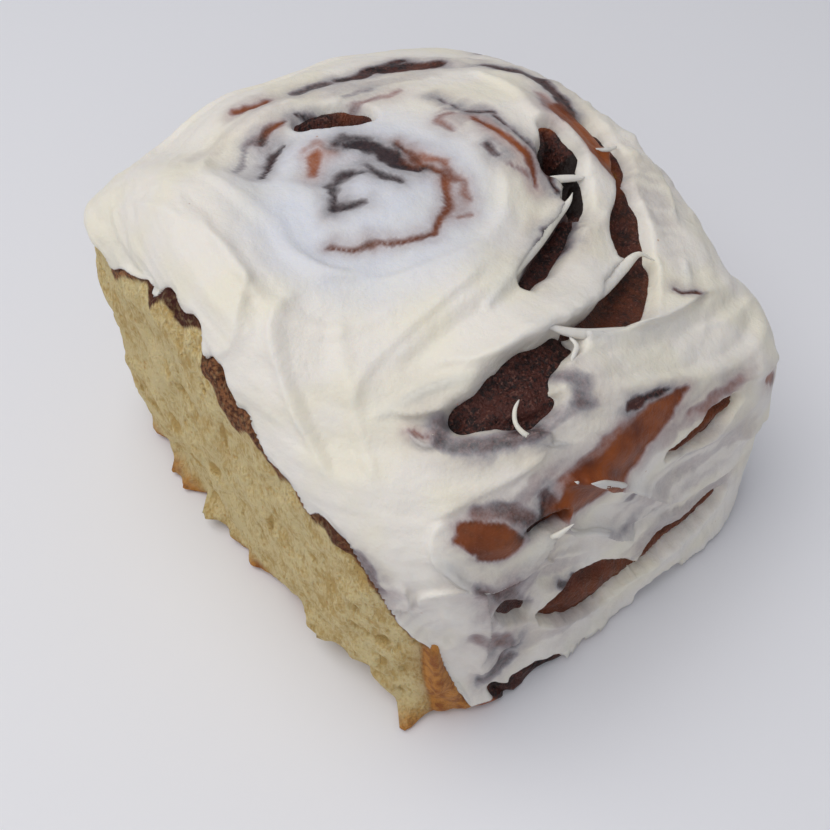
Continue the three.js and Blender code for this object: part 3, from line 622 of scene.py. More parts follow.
def opening_masks(p, q):
    """How open a spot is, how far the dough sinks there, the raised rim, how dark it is with its weight,
    and the distance outside the nearest opening."""
    p, q = warped(p, q, 3.6, 0.5, 25)
    bare, sink, lip, dark = (np.zeros(p.shape) for _ in range(4))
    weight, rim = np.full(p.shape, 1e-6), np.full(p.shape, 1e3)
    for curve, opening in OPENING_CURVES:
        distance, _, extra = nearest_on(curve, p, q, margin=12)
        half, outside = extra[..., 0], np.abs(distance) - extra[..., 0]
        bare = np.maximum(bare, 1 - smoothstep(-0.4, opening["soft"] + EDGE_WIDTH, outside))
        here = opening["sink"] * (1 - smoothstep(-half.clip(0.8, 3.0), -0.3, outside))
        sink = np.where(np.abs(here) > np.abs(sink), here, sink)
        near = (1 - smoothstep(0, 3.0, outside)) ** 2
        dark += opening["dark"] * near
        weight += near
        lip = np.maximum(lip, opening.get("lip", 0) * bell((outside - opening["soft"] - 0.5) / 0.8))
        rim = np.minimum(rim, outside)
    return bare, sink, lip, dark, weight, rim


def survey(p, q):
    """Everything the levels and colours need at each spot of the map."""
    theta, unfolded = np.arctan2(q, p), np.hypot(p, q)
    seam = nearest_on(SEAM, p, q)[0]
    film, smear_dark, smear_weight = smear_masks(p, q)
    bare, sink, lip, open_dark, open_weight, rim = opening_masks(p, q)
    weight = smear_weight + open_weight
    return dict(p=p, q=q, theta=theta, unfolded=unfolded, seam=seam, film=film, bare=bare, sink=sink,
                lip=lip, rim=rim.clip(-2, 3), dark=(smear_dark + open_dark) / weight,
                known=weight.clip(0, 1), inside=ragged_reach(p, q) - unfolded, torn=torn_side(p, q))


# Broad bulges and hollows of the coils: p, q, half length, half width, height.
SWELLS = [
    (-36, -64, 9, 8, 2.4), (-8, -69, 22, 7, 1.4), (14, -50, 26, 6, 0.8), (-20, -87, 16, 7, -1.8),
    (20, -86, 22, 6, -0.9),
    (-10, -106, 32, 5, 0.8), (-4, 4, 7, 7, 0.9), (-52, -78, 8, 12, 0.8), (38, -8, 3, 14, 0.8),
    (-58, 46, 9, 9, 2.6),
    (50, 26, 9, 12, 1.6), (59, -15, 7, 8, 1.8), (62, -38, 8, 8, -1.2), (-100, 20, 26, 26, 1.2),
    (2, 56, 15, 9, -2.0),
]
# Where the icing lies in lumps: p, q, half length, half width, height of the lumps.
LUMPS = [
    (57, -8, 9, 26, 0.9), (-62, -82, 16, 22, 1.0), (-64, 36, 12, 14, 0.6), (-58, -8, 8, 18, 0.5),
    (50, 26, 10, 12, 0.7),
]
FAINT_LUMPS = 0.14


def bulges(p, q, rows):
    """The sum of bell shapes given as rows of p, q, half length, half width, height."""
    return sum(h * np.exp(-(((p - a) / u) ** 2) - ((q - b) / v) ** 2) for a, b, u, v, h in rows)


def swell(p, q):
    """The broad shape of the coils."""
    return bulges(p, q, SWELLS)


def lumps(p, q):
    """Heaps and dimples about 6 mm across where the icing was pulled off, and fainter ones everywhere."""
    strength = FAINT_LUMPS + bulges(p, q, LUMPS)
    p, q = warped(p, q, 5.0, 1.6, 46)
    return strength * (noise(p / 6.5, q / 6.5, 0, 48) + 0.45 * noise(p / 2.6, q / 2.6, 0, 49))


SEAM_HALF = 2.6  # half width of the groove along the seam


def flat_bread_level(s):
    """The dough before it sinks in the openings."""
    iced = smoothstep(-2, 6, s["inside"])
    seam = bell(s["seam"] / SEAM_HALF)
    step = np.tanh(s["seam"] / 1.2) * np.exp(-np.abs(s["seam"]) / 7)
    grain = 0.26 * rough(s["p"] / 2.4, s["q"] / 2.4, 0, 31) * (0.3 + s["dark"])
    return iced * (swell(s["p"], s["q"]) - ICING_THICKNESS - 1.0 * seam + 0.7 * step + grain)


def bread_level(s):
    return flat_bread_level(s) - s["sink"]


# %% The level of the icing
def knife_marks(p, q):
    """Fine lines left by the knife: round the coil on top, aslant on the front wall."""
    around = np.arctan2(q - SEAM_MIDDLE[1], p - SEAM_MIDDLE[0])
    far = np.hypot(p - SEAM_MIDDLE[0], q - SEAM_MIDDLE[1])
    top = noise(around * far / 16, far / 3.4, 0, 41) + 0.4 * noise(around * far / 9, far / 1.4, 0, 42)
    down, aside = p * 0.8 - q * 0.6, p * 0.6 + q * 0.8
    front = noise(down / 18, aside / 3.4, 0, 43) + 0.5 * noise(down / 10, aside / 1.4, 0, 44)
    share = smoothstep(46, 60, -q)
    return top * (1 - share) + front * share


def add_furrows(p, q, level):
    for curve, furrow in FURROW_CURVES:
        distance, share, extra = nearest_on(curve, p, q, margin=14)
        across = np.abs(distance) / extra[..., 0]
        ends = smoothstep(0, 0.15, share) * smoothstep(1, 0.85, share)
        level = level - furrow["depth"] * ends * (1 - smoothstep(0.5, 1.0, across))
        level = level + 0.35 * furrow["depth"] * ends * bell((across - 1.15) / 0.2)
    return level


# A crest's steep and soft side, in half widths, and how far its top leans out per millimetre of height.
CREST_STEEP, CREST_SOFT = 0.85, 1.6
CREST_LEAN = 0.5


def add_crests(p, q, level):
    """Raises each crest and leans its top over its steep side, so that it overhangs like a wave."""
    lean = np.zeros((*p.shape, 2))
    for curve, crest in CREST_CURVES:
        distance, share, extra = nearest_on(curve, p, q, margin=14)
        across = distance * crest["steep"] / extra[..., 0]
        ends = smoothstep(-0.02, 0.16, share) * smoothstep(1.02, 0.84, share)
        soft_side = np.exp(np.minimum(across, 0) / CREST_SOFT)
        shape = ends * np.where(across > 0, bell(across / CREST_STEEP), soft_side)
        level = level + crest["height"] * shape
        ahead = np.gradient(curve[:, :2], axis=0)
        ahead /= np.linalg.norm(ahead, axis=1, keepdims=True)
        place = share * (len(curve) - 1)
        row = place.astype(int).clip(0, len(curve) - 2)
        part = (place - row)[..., None]
        way = ahead[row] * (1 - part) + ahead[row + 1] * part
        left = np.stack([-way[..., 1], way[..., 0]], -1)
        reach = crest["steep"] * crest["height"] * CREST_LEAN * shape**2
        lean += np.where(np.abs(distance) < 20, reach, 0)[..., None] * left
    return level, lean


# A curl follows this share of the swell. The rib under it rises this far above its path and falls this much
# per millimetre away, and the valley beside it is filled over this height.
CURL_SWELL = 0.9
RIB_RISE, RIB_SLOPE, RIB_BLEND = 0.2, 1.1, 0.6


def add_ribs(p, q, level):
    """Draws the icing up into a rib under each curl: the higher of the level and a tent over the curl, with
    the valley between them filled: (a + b + sqrt((a - b)^2 + k^2)) / 2."""
    for curve in RIB_CURVES:
        distance, _, extra = nearest_on(curve, p, q, margin=8)
        height, round_top = extra[..., 0], 0.5 * extra[..., 1]
        fall = RIB_SLOPE * (np.hypot(distance, round_top) - round_top)
        tent = height + CURL_SWELL * swell(p, q) + RIB_RISE - fall
        level = (level + tent + np.hypot(level - tent, RIB_BLEND)) / 2
    return level


def icing_level(s, bread):
    """Returns the icing's level and how far its crests lean over."""
    p, q = s["p"], s["q"]
    heap = 1.2 * smoothstep(-14, -36, p) * smoothstep(-34, -8, q) * smoothstep(64, 34, s["unfolded"])
    middle = np.hypot(p - SEAM_MIDDLE[0], q - SEAM_MIDDLE[1])
    thin = smoothstep(30, 18, middle) + smoothstep(58, 66, -q) * smoothstep(24, 0, p)
    level = swell(p, q) * 0.9 - 0.5 * bell(s["seam"] / 3.4) + 0.5 * noise(p / 17, q / 17, 0, 45)
    level += 0.2 * knife_marks(p, q) * (1 - 0.3 * thin) + heap - 0.9 * thin + lumps(p, q)
    level = add_furrows(p, q, level)
    level, lean = add_crests(p, q, level)
    level = add_ribs(p, q, level) + s["lip"] - 0.35 * s["film"]
    edge = 1 - np.sqrt(1 - (1 - (s["inside"] / 2.4).clip(0, 1)) ** 2)
    level = level - edge * (ICING_THICKNESS * 0.8)
    level = np.maximum(level, bread + 0.7)
    level = level * (1 - s["bare"]) + (bread - 1.2) * s["bare"]
    past = smoothstep(0.4, -1.6, s["inside"])
    level = level * (1 - past) + (bread - 2.0) * past
    return level, lean * (1 - s["bare"])[..., None]


# %% [markdown]
# ## Making a mesh from a grid
# A surface is a whole array of points and a whole array of faces, given to Blender in one go.


# %% Mesh helpers
def add_mesh(name, points, faces, attributes=None):
    """Points in millimetres, faces as a list of rows of point numbers, and numbers kept on the points."""
    mesh = bpy.data.meshes.new(name)
    mesh.from_pydata((points * MM).tolist(), [], faces)
    for key, values in (attributes or {}).items():
        layer = mesh.attributes.new(key, "FLOAT", "POINT")
        layer.data.foreach_set("value", np.asarray(values, np.float32).ravel())
    mesh.polygons.foreach_set("use_smooth", np.ones(len(mesh.polygons), bool))
    mesh.update()
    piece = bpy.data.objects.new(name, mesh)
    bpy.context.scene.collection.objects.link(piece)
    return piece


print("helpers ready")

# %% [markdown]
# ## The bread
# The bread is one closed surface: rings from the crown over the shoulder, down the wall and under the foot.
# Torn crumb is fibrous and full of pores, so the torn walls are pushed in and out by stretched noise, and
# pores are dents. The rings are closer together than the fibres are wide.

# %% The bread's surface
BREAD_SPOKES = 520
BREAD_ROWS = 176
BREAD_UNDER_ROWS = 10


def bread_spokes():
    """Directions round the crown, set closer together on the torn sides and the front."""
    fine = np.linspace(-np.pi, np.pi, 7201)
    closer = [(180, 0.9, 0.75), (-90, 0.35, 0.7), (90, 0.25, 0.7)]
    density = 1 + sum(more * bell(turn_between(fine, at) / wide) for at, more, wide in closer)
    total = np.concatenate([[0], np.cumsum((density[1:] + density[:-1]) / 2)])
    return np.interp(np.linspace(0, total[-1], BREAD_SPOKES, endpoint=False), total, fine)


# Below the icing's edge on the torn side runs a rind: its width in mm and how dark it is, by direction.
RIND = [
    (48, 1.5, 0.3), (90, 2.5, 0.6), (120, 1.5, 0.3), (146, 3.0, 0.2), (154, 3.0, 0.2), (161, 1.0, 0.6),
    (166, 4.5, 1.0),
    (177, 5.5, 1.0), (181, 1.6, 0.5), (186, 8.0, 0.35), (191, 10.0, 0.35), (197, 6.0, 0.35), (202, 4.0, 0.3),
    (205, 4.5, 0.5),
    (208, 1.6, 0.3), (213, 3.0, 0.5), (216, 5.5, 0.85), (221, 3.0, 0.5), (226, 1.3, 0.05), (233, 1.3, 0.05),
]
# Rags of crumb and crust that stuck to the tray or the neighbour: x, y, z, radius, reach, brown or not.
RAGS = [
    (-49, 38, 2, 3.0, 2.8, 1), (-49, 26, 2, 2.6, 2.2, 1), (-49, 21, 1.5, 3.0, 3.0, 1),
    (-49, 11, 4, 3.4, 4.4, 0),
    (-49, 4, 2.5, 2.6, 2.0, 0), (-49, -4, 1.5, 2.4, 1.6, 1), (-49, -26, 8, 4.2, 2.4, 0),
    (-48, -36, 1, 5.5, -4.4, 0),
    (-47, -42, 7, 3.0, 1.6, 0), (-44.6, -48, 1.4, 2.1, 7.0, 1), (-41, -53, 2, 2.2, 1.6, 1),
    (-30, 57, 3, 3.6, 3.2, 0), (-12, 57, 8, 3.0, 2.2, 0), (4, 57, 2, 3.4, 3.4, 1), (22, 57, 5, 3.0, 2.6, 0),
    (36, 53, 2, 3.0, 2.8, 1), (-46, 48, 12, 3.2, 1.8, 0), (-50, 33, 30, 3.0, 1.4, 0),
    (10, 58, 34, 3.4, 1.6, 0),
]


def rags(points):
    """Bell-shaped bumps at the rags, and how brown each spot is from them."""
    out, brown = np.zeros(points.shape[:-1]), np.zeros(points.shape[:-1])
    for x, y, z, radius, reach, is_brown in RAGS:
        near = np.exp(-((((points - (x, y, z)) / (radius, radius, radius * 0.8)) ** 2).sum(-1)))
        out += reach * near
        brown = np.maximum(brown, is_brown * near)
    return out, brown


def crumb_level(points):
    """Torn crumb: soft lumps, upright fibres and pores, in millimetres along the normal."""
    x, y, z = points[..., 0], points[..., 1], points[..., 2]
    bend = 1.5 * noise(x / 16, y / 16, z / 16, 57)
    heaps = 1.2 * noise(x / 14, y / 14, z / 12, 51) + 0.9 * noise((x + bend) / 5, (y + bend) / 5, z / 7, 52)
    fibres = 0.6 * noise((x + bend) / 2.4, (y + bend) / 2.4, z / 4.4, 53)
    fibres += 0.3 * rough(x / 2.0, y / 2.0, z / 2.0, 54)
    pores = smoothstep(0.42, 0.8, noise((x + bend) / 2.4, (y + bend) / 2.4, z / 3.6, 55))
    ragged = rough(x / 2.2, y / 2.2, z / 2.2, 58)
    loose, brown = rags(points)
    return heaps + fibres - 1.0 * pores - 0.4 + loose * (1 + 0.35 * ragged), pores, brown


# The flake of golden crust at the near corner: its direction and half width in degrees, and its height.
FLAKE_AT, FLAKE_HALF, FLAKE_HEIGHT = 231.4, 1.1, 2.2


def golden_strip(s, degrees):
    """1 on the strip of golden crust at the near corner, with a wandering edge, and its flake's height."""
    bent = degrees + 0.9 * noise(s["unfolded"] / 5, 0, 0, 63)
    strip = smoothstep(229.4, 230.0, bent) * smoothstep(238, 236, degrees)
    strip *= smoothstep(96, 103, s["unfolded"])
    flake = bell(turn_between(s["theta"], FLAKE_AT) / np.radians(FLAKE_HALF))
    flake *= smoothstep(101, 105, s["unfolded"]) * smoothstep(120, 115, s["unfolded"])
    return strip, FLAKE_HEIGHT * flake * (0.8 + 0.3 * noise(s["unfolded"] / 6, 0, 0, 64))


def dough_masks(s, smooth, strip, crumb_masks):
    """What the dough's finish needs at each spot: torn, pores, rind, brown and dark."""
    torn, pores, brown = crumb_masks
    degrees = np.degrees(s["theta"]) % 360
    at, widths, darks = np.array(RIND, float).T
    width, rind_dark = (np.interp(degrees, at, values, period=360) for values in (widths, darks))
    x, y, z = smooth[..., 0], smooth[..., 1], smooth[..., 2]
    below = -s["inside"] + 0.9 * noise(s["p"] / 3, s["q"] / 3, z / 3, 61)
    rind = s["torn"] * smoothstep(-1.5, -0.2, below) * smoothstep(width + 0.5, width - 0.5, below)
    tray = s["torn"] * smoothstep(3.2, 0.8, z + 1.6 * noise(x / 5, y / 5, 0, 62))
    coil = s["dark"] * s["known"] + (1 - s["known"]) * 0.9 * bell(s["seam"] / 2.0)
    toasted = np.maximum(np.maximum(tray, brown * 0.9) * torn, strip)
    dark = np.where(rind > 0.3, rind_dark, coil)
    return dict(torn=torn, pores=pores * torn, rind=rind, brown=toasted, dark=dark)


def add_bread():
    theta = bread_spokes()
    rows = (np.arange(BREAD_ROWS) + 1) / BREAD_ROWS
    unfolded = rows[:, None] * foot_distance(theta)[None, :]
    p, q = unfolded * np.cos(theta), unfolded * np.sin(theta)
    s = survey(p, q)
    level = bread_level(s)
    smooth = smooth_point(p, q)
    crumb, pores, brown = crumb_level(smooth)
    torn = s["torn"] * smoothstep(1.0, -2.5, s["inside"])
    near_foot = (3.0 - smooth[..., 2]).clip(0, 3.0)
    level += torn * crumb - near_foot**2 / 5 * (1 - 0.6 * torn)
    strip, flake = golden_strip(s, np.degrees(s["theta"]) % 360)
    x, y, z = smooth[..., 0], smooth[..., 1], smooth[..., 2]
    flaky = 0.7 * noise(x / 3, y / 3, z / 5, 65) + 0.35 * rough(x / 1.8, y / 1.8, z / 3, 66)
    level += flake
    level += strip * (1 - torn) * flaky
    points = lifted(p, q, level)
    points[..., 2] = points[..., 2].clip(0)
    points[-1, :, 2] = 0
    masks = dough_masks(s, smooth, strip, (torn, pores, brown))
    rims = np.linspace(1, 0, BREAD_UNDER_ROWS + 1)[1:-1]
    centre = np.array([0, FOOT["centre_y"], 0])
    under = centre + (points[-1] - centre) * rims[:, None, None]
    under[..., 2] = 0
    crown = lifted(np.array([1e-3]), np.array([0.0]), np.array([level[0].mean()]))
    grid = np.concatenate([points, under])
    count = len(grid)
    cells = np.arange(count * BREAD_SPOKES).reshape(count, BREAD_SPOKES) + 1
    a, b = cells[:-1], cells[1:]
    quads = np.stack([a, b, np.roll(b, -1, 1), np.roll(a, -1, 1)], -1).reshape(-1, 4).tolist()
    last = count * BREAD_SPOKES + 1
    first, end = cells[0], cells[-1]
    caps = [[0, i, j] for i, j in zip(first.tolist(), np.roll(first, -1).tolist())]
    caps += [[last, j, i] for i, j in zip(end.tolist(), np.roll(end, -1).tolist())]
    vertices = np.vstack([crown, grid.reshape(-1, 3), centre[None]])
    attributes = {}
    for key, values in masks.items():
        low = np.zeros((len(under), BREAD_SPOKES))
        attributes[key] = np.concatenate([[values[0].mean()], values.ravel(), low.ravel(), [0]])
    return add_mesh("baked_dough", vertices, quads + caps, attributes)


bread = add_bread()
print("bread:", len(bread.data.polygons), "faces")

# %% [markdown]
# ## The icing
# The icing could be a copy of the bread's grid, but it ends in free outlines all over the roll. So it is a
# square net over the map with a height above the bread at each corner, and it is cut along the line where
# that height falls to zero: squares that straddle the line are split, and new corners are put on the line.
# The same net pressed into the bread is its underside. It shares the cut line, so the icing is closed.

# %% Cutting a net along a line
def cut_net(squares, height):
    """Keeps the part of a net of squares where height > 0. Each triangle of a straddling square keeps a
    corner or a quadrilateral, and a new point lies on edge (a, b) at height_a / (height_a - height_b).
    Returns the faces as quads and triangles and, for each new point, its two ends and its share."""
    kept = (height[squares] > 0).sum(1)
    whole, mixed = squares[kept == 4], squares[(kept > 0) & (kept < 4)]
    triangles = np.concatenate([mixed[:, [0, 1, 2]], mixed[:, [0, 2, 3]]])
    above = height[triangles] > 0
    whole_triangles = triangles[above.all(1)]
    tips, bases = triangles[above.sum(1) == 1], triangles[above.sum(1) == 2]

    def lead(corners, first):
        return np.take_along_axis(corners, (first[:, None] + np.arange(3)) % 3, 1)

    tips = lead(tips, (height[tips] > 0).argmax(1))
    bases = lead(bases, (height[bases] <= 0).argmax(1))
    edges = np.concatenate([tips[:, [0, 1]], tips[:, [0, 2]], bases[:, [1, 0]], bases[:, [2, 0]]])
    ends, back = np.unique(np.sort(edges, 1), axis=0, return_inverse=True)
    t1, t2, b1, b2 = np.split(back.ravel() + len(height), np.cumsum([len(tips), len(tips), len(bases)]))
    share = height[ends[:, 0]] / (height[ends[:, 0]] - height[ends[:, 1]])
    quads = np.concatenate([whole, np.stack([b1, bases[:, 1], bases[:, 2], b2], 1)])
    triangles = np.concatenate([whole_triangles, np.stack([tips[:, 0], t1, t2], 1)])
    return quads, triangles, ends, share.clip(0.04, 0.96)


# %% The shape of a curl
CURL_SIDES = 10
CURL_FLATNESS = 0.75
CURL_SUNK = 0.85  # how far the tube's middle lies below its path, in half widths


def curl_tube(path):
    """A flattened tube: the path's point, plus across * half width * cos, plus up * flat * half width * sin.
    Returns the points, the quads between rings and the triangles that close both ends."""
    curve = drawn(path, 0.45)
    p, q, height, half = curve.T
    height = height + CURL_SWELL * swell(p, q)
    middle = lifted(p, q, height)
    up = lifted(p, q, height + 0.5) - middle
    up /= np.linalg.norm(up, axis=1, keepdims=True)
    ahead = np.gradient(middle, axis=0)
    across = np.cross(ahead, up)
    across /= np.linalg.norm(across, axis=1, keepdims=True)
    along = np.linspace(-1, 1, len(curve))
    half = half * np.sqrt(1 - along**12).clip(0.25)
    turn = np.linspace(0, 2 * np.pi, CURL_SIDES, endpoint=False)[:, None]
    middle = middle - CURL_SUNK * half[:, None] * up
    ring = np.cos(turn) * across[:, None] + CURL_FLATNESS * np.sin(turn) * up[:, None]
    rings = middle[:, None] + half[:, None, None] * ring
    cells = np.arange(len(curve) * CURL_SIDES).reshape(-1, CURL_SIDES)
    after = np.roll(cells, -1, 1)
    quads = np.stack([cells[:-1], cells[1:], after[1:], after[:-1]], -1).reshape(-1, 4)
    first, last = cells.size, cells.size + 1
    side = np.arange(CURL_SIDES)
    caps = [np.stack([np.full(CURL_SIDES, first), cells[0][side], after[0][side]], 1),
            np.stack([np.full(CURL_SIDES, last), after[-1][side], cells[-1][side]], 1)]
    return np.vstack([rings.reshape(-1, 3), middle[:1], middle[-1:]]), quads, np.concatenate(caps)


# %% The icing's surface
ICING_STEP = 0.6
UNDERSIDE_SHARE = 0.18  # the share of the hidden underside's triangles that is kept
UNDERSIDE_DEPTH = 1.1  # how far the underside is pressed into the bread
EDGE_DEPTH = 0.45  # the net is cut where it lies this far under the bread
PLATE_GAP = 0.4
ICING_MASKS = {"cover": 4, "dark": 5, "rim": 6, "cool_shade": 7}  # the column of each in the net's table


def icing_net():
    """The net's squares and its corners' (p, q), wherever icing could be."""
    p, q = np.meshgrid(np.arange(-84, 112, ICING_STEP), np.arange(-128, 84, ICING_STEP))
    theta = np.arctan2(q, p)
    wanted = np.hypot(p, q) < np.minimum(icing_reach(theta) + 6, foot_distance(theta) - 1.2)
    number = np.full(p.shape, -1)
    number[wanted] = np.arange(wanted.sum())
    corners = [number[:-1, :-1], number[:-1, 1:], number[1:, 1:], number[1:, :-1]]
    squares = np.stack(corners, -1).reshape(-1, 4)
    return squares[(squares >= 0).all(1)], p[wanted], q[wanted]


def add_icing():
    """The whole coat before it is thinned: top, underside and the cut edge that they share."""
    squares, p, q = icing_net()
    s = survey(p, q)
    bread = flat_bread_level(s)
    level, lean = icing_level(s, bread)
    quads, triangles, ends, share = cut_net(squares, level - bread + EDGE_DEPTH)
    dark = s["dark"] * s["known"] + (1 - s["known"]) * 0.5
    rim = np.minimum(s["rim"], s["inside"])
    # Painted shade round the coil's middle, where the icing dips.
    cool_shade = smoothstep(30, 16, np.hypot(p - SEAM_MIDDLE[0], q - SEAM_MIDDLE[1]))
    table = np.column_stack([p + lean[:, 0], q + lean[:, 1], level, bread, 1 - s["film"], dark, rim, cool_shade])
    new_rows = table[ends[:, 0]] * (1 - share)[:, None] + table[ends[:, 1]] * share[:, None]
    table = np.vstack([table, new_rows])
    used, order = np.unique(np.concatenate([quads.ravel(), triangles.ravel()]), return_inverse=True)
    quads, triangles = order[:quads.size].reshape(-1, 4), order[quads.size:].reshape(-1, 3)
    edge = used >= len(p)
    squares_used = np.concatenate([quads, np.column_stack([triangles, triangles[:, 0]])])
    edges = np.sort(np.concatenate([squares_used[:, [n, (n + 1) % 4]] for n in range(4)]), 1)
    edges, counts = np.unique(edges[edges[:, 0] != edges[:, 1]], axis=0, return_counts=True)
    edge[edges[counts == 1].ravel()] = True
    table = table[used]
    top = lifted(table[:, 0], table[:, 1], table[:, 2])
    inner = table[~edge]
    deep = lifted(inner[:, 0], inner[:, 1], np.minimum(inner[:, 3], inner[:, 2]) - UNDERSIDE_DEPTH)
    below = np.arange(len(top))
    below[~edge] = len(top) + np.arange(len(deep))
    points = np.vstack([top, deep])
    points[:, 2] = points[:, 2].clip(PLATE_GAP)
    faces = quads.tolist() + triangles.tolist()
    faces += below[quads[:, ::-1]].tolist() + below[triangles[:, ::-1]].tolist()
    masks = {key: np.concatenate([table[:, n], inner[:, n]]) for key, n in ICING_MASKS.items()}
    coat = add_mesh("icing_net", points, faces, masks)
    group = coat.vertex_groups.new(name="underside")
    group.add(range(len(top), len(points)), 1.0, "REPLACE")
    print("icing faces before thinning:", len(faces))
    return coat


def thinned(coat):
    """Collapses edges of the hidden underside only, and adds the curls to what is left."""
    total = sum(len(face.vertices) - 2 for face in coat.data.polygons)
    modifier = coat.modifiers.new("thin", "DECIMATE")
    modifier.ratio = 0.5 + UNDERSIDE_SHARE / 2
    modifier.vertex_group = "underside"
    modifier.vertex_group_factor = 1000
    bpy.context.view_layer.update()
    mesh = bpy.data.meshes.new_from_object(coat.evaluated_get(bpy.context.evaluated_depsgraph_get()))
    points = np.empty(len(mesh.vertices) * 3)
    mesh.vertices.foreach_get("co", points)
    points = points.reshape(-1, 3) / MM
    faces = [list(face.vertices) for face in mesh.polygons]
    masks = {}
    for key in ICING_MASKS:
        masks[key] = np.empty(len(points))
        mesh.attributes[key].data.foreach_get("value", masks[key])
    bpy.data.objects.remove(coat)
    for path in CURLS:
        tube, quads, caps = curl_tube(path)
        faces += (quads + len(points)).tolist() + (caps + len(points)).tolist()
        points = np.vstack([points, tube])
        for key, value in (("cover", 1), ("dark", 0), ("rim", 3), ("cool_shade", 0)):
            masks[key] = np.concatenate([masks[key], np.full(len(tube), value)])
    piece = add_mesh("icing_coat", points, faces, masks)
    print("icing triangles:", total, "thinned to", sum(len(face) - 2 for face in faces))
    return piece


icing = thinned(add_icing())

# %% [markdown]
# ## Finishes
# Shader maths reads like ordinary maths: a `Shade` wraps one output of a node, and the operators add Math
# nodes. A `Finish` is a material with one method that adds any other node.


# %% A small language for shaders
class Shade:
    """One output socket; + - * / ** between it and numbers or other Shades add Math nodes."""

    def __init__(self, finish, socket):
        self.finish, self.socket = finish, socket

    def _maths(self, operation, first, second, clamp=False):
        settings = {"operation": operation, "use_clamp": clamp}
        return self.finish.node("ShaderNodeMath", settings, {0: first, 1: second})

    def __add__(self, other): return self._maths("ADD", self, other)
    def __radd__(self, other): return self._maths("ADD", other, self)
    def __sub__(self, other): return self._maths("SUBTRACT", self, other)
    def __rsub__(self, other): return self._maths("SUBTRACT", other, self)
    def __mul__(self, other): return self._maths("MULTIPLY", self, other)
    def __rmul__(self, other): return self._maths("MULTIPLY", other, self)
    def __truediv__(self, other): return self._maths("DIVIDE", self, other)
    def __pow__(self, other): return self._maths("POWER", self, other)

    def clamped(self):
        return self._maths("ADD", self, 0.0, clamp=True)

    def step(self, low, high):
        """0 below low, 1 above high, smooth in between."""
        return self.finish.node("ShaderNodeMapRange", {"interpolation_type": "SMOOTHSTEP"},
                                {"Value": self, "From Min": low, "From Max": high})


class Finish:
    """A material being built."""

    def __init__(self, name, colour):
        self.material = bpy.data.materials.new(name)
        self.material.use_nodes = True
        self.material.diffuse_color = (*colour, 1)
        self.tree = self.material.node_tree
        self.tree.nodes.clear()

    def node(self, kind, settings=None, inputs=None, output=0):
        node = self.tree.nodes.new(kind)
        for key, value in (settings or {}).items():
            setattr(node, key, value)
        for key, value in (inputs or {}).items():
            if isinstance(value, Shade):
                self.tree.links.new(value.socket, node.inputs[key])
            else:
                node.inputs[key].default_value = value
        return Shade(self, node.outputs[output])

    def attribute(self, name):
        return self.node("ShaderNodeAttribute", {"attribute_name": name}, output="Fac")

    def place(self, stretch=(1, 1, 1)):
        """Object coordinates in millimetres, stretched."""
        spot = self.node("ShaderNodeTexCoord", output="Object")
        scale = tuple(value / MM for value in stretch)
        return self.node("ShaderNodeVectorMath", {"operation": "MULTIPLY"}, {0: spot, 1: scale})

    def grain(self, size, stretch=(1, 1, 1), detail=3.0, roughness=0.5):
        """Noise from 0 to 1 with features about `size` millimetres across."""
        return self.node("ShaderNodeTexNoise", None, {"Vector": self.place(stretch), "Scale": 1 / size,
                                                      "Detail": detail, "Roughness": roughness})

    def mix(self, share, first, second):
        colours = [value if isinstance(value, Shade) else (*value, 1) for value in (first, second)]
        inputs = {0: share, 6: colours[0], 7: colours[1]}
        return self.node("ShaderNodeMix", {"data_type": "RGBA"}, inputs, output=2)

    def bump(self, height, depth_mm):
        inputs = {"Height": height, "Strength": 1.0, "Distance": depth_mm * MM}
        return self.node("ShaderNodeBump", None, inputs)

    def finish(self, inputs):
        surface = self.node("ShaderNodeBsdfPrincipled", None, inputs)
        self.node_output(surface)
        return self.material

    def node_output(self, surface):
        output = self.tree.nodes.new("ShaderNodeOutputMaterial")
        self.tree.links.new(surface.socket, output.inputs["Surface"])


# %% [markdown]
# ### Dough
# Four looks in one finish: pale yellow torn crumb, golden to orange-brown crust, the brown rind just under
# the icing on the torn side, and the dark grainy cinnamon filling in the seams.

# %% The dough's colours
CRUMB = (0.75, 0.61, 0.32)
# Darker crumb: partly the crumb's own uneven tone, partly painted shade between the fibres and in the pores.
CRUMB_TONE_AND_SHADE = (0.56, 0.38, 0.14)
GOLD = (0.55, 0.24, 0.05)
TOAST = (0.30, 0.095, 0.020)
CRUST = (0.10, 0.018, 0.006)
CRUST_LIGHT = (0.36, 0.090, 0.014)
FILLING = (0.066, 0.017, 0.012)
FILLING_DARK = (0.013, 0.005, 0.005)
SUGAR = (0.20, 0.088, 0.066)
# Near-black painted shade for the deepest openings.
HOLLOW_PAINTED_SHADE = (0.010, 0.004, 0.003)
RIND_LIGHT = (0.36, 0.15, 0.06)
RIND_DARK = (0.085, 0.030, 0.014)
LIGHT_REACH = 2 * MM  # how far light travels inside the crumb and the icing


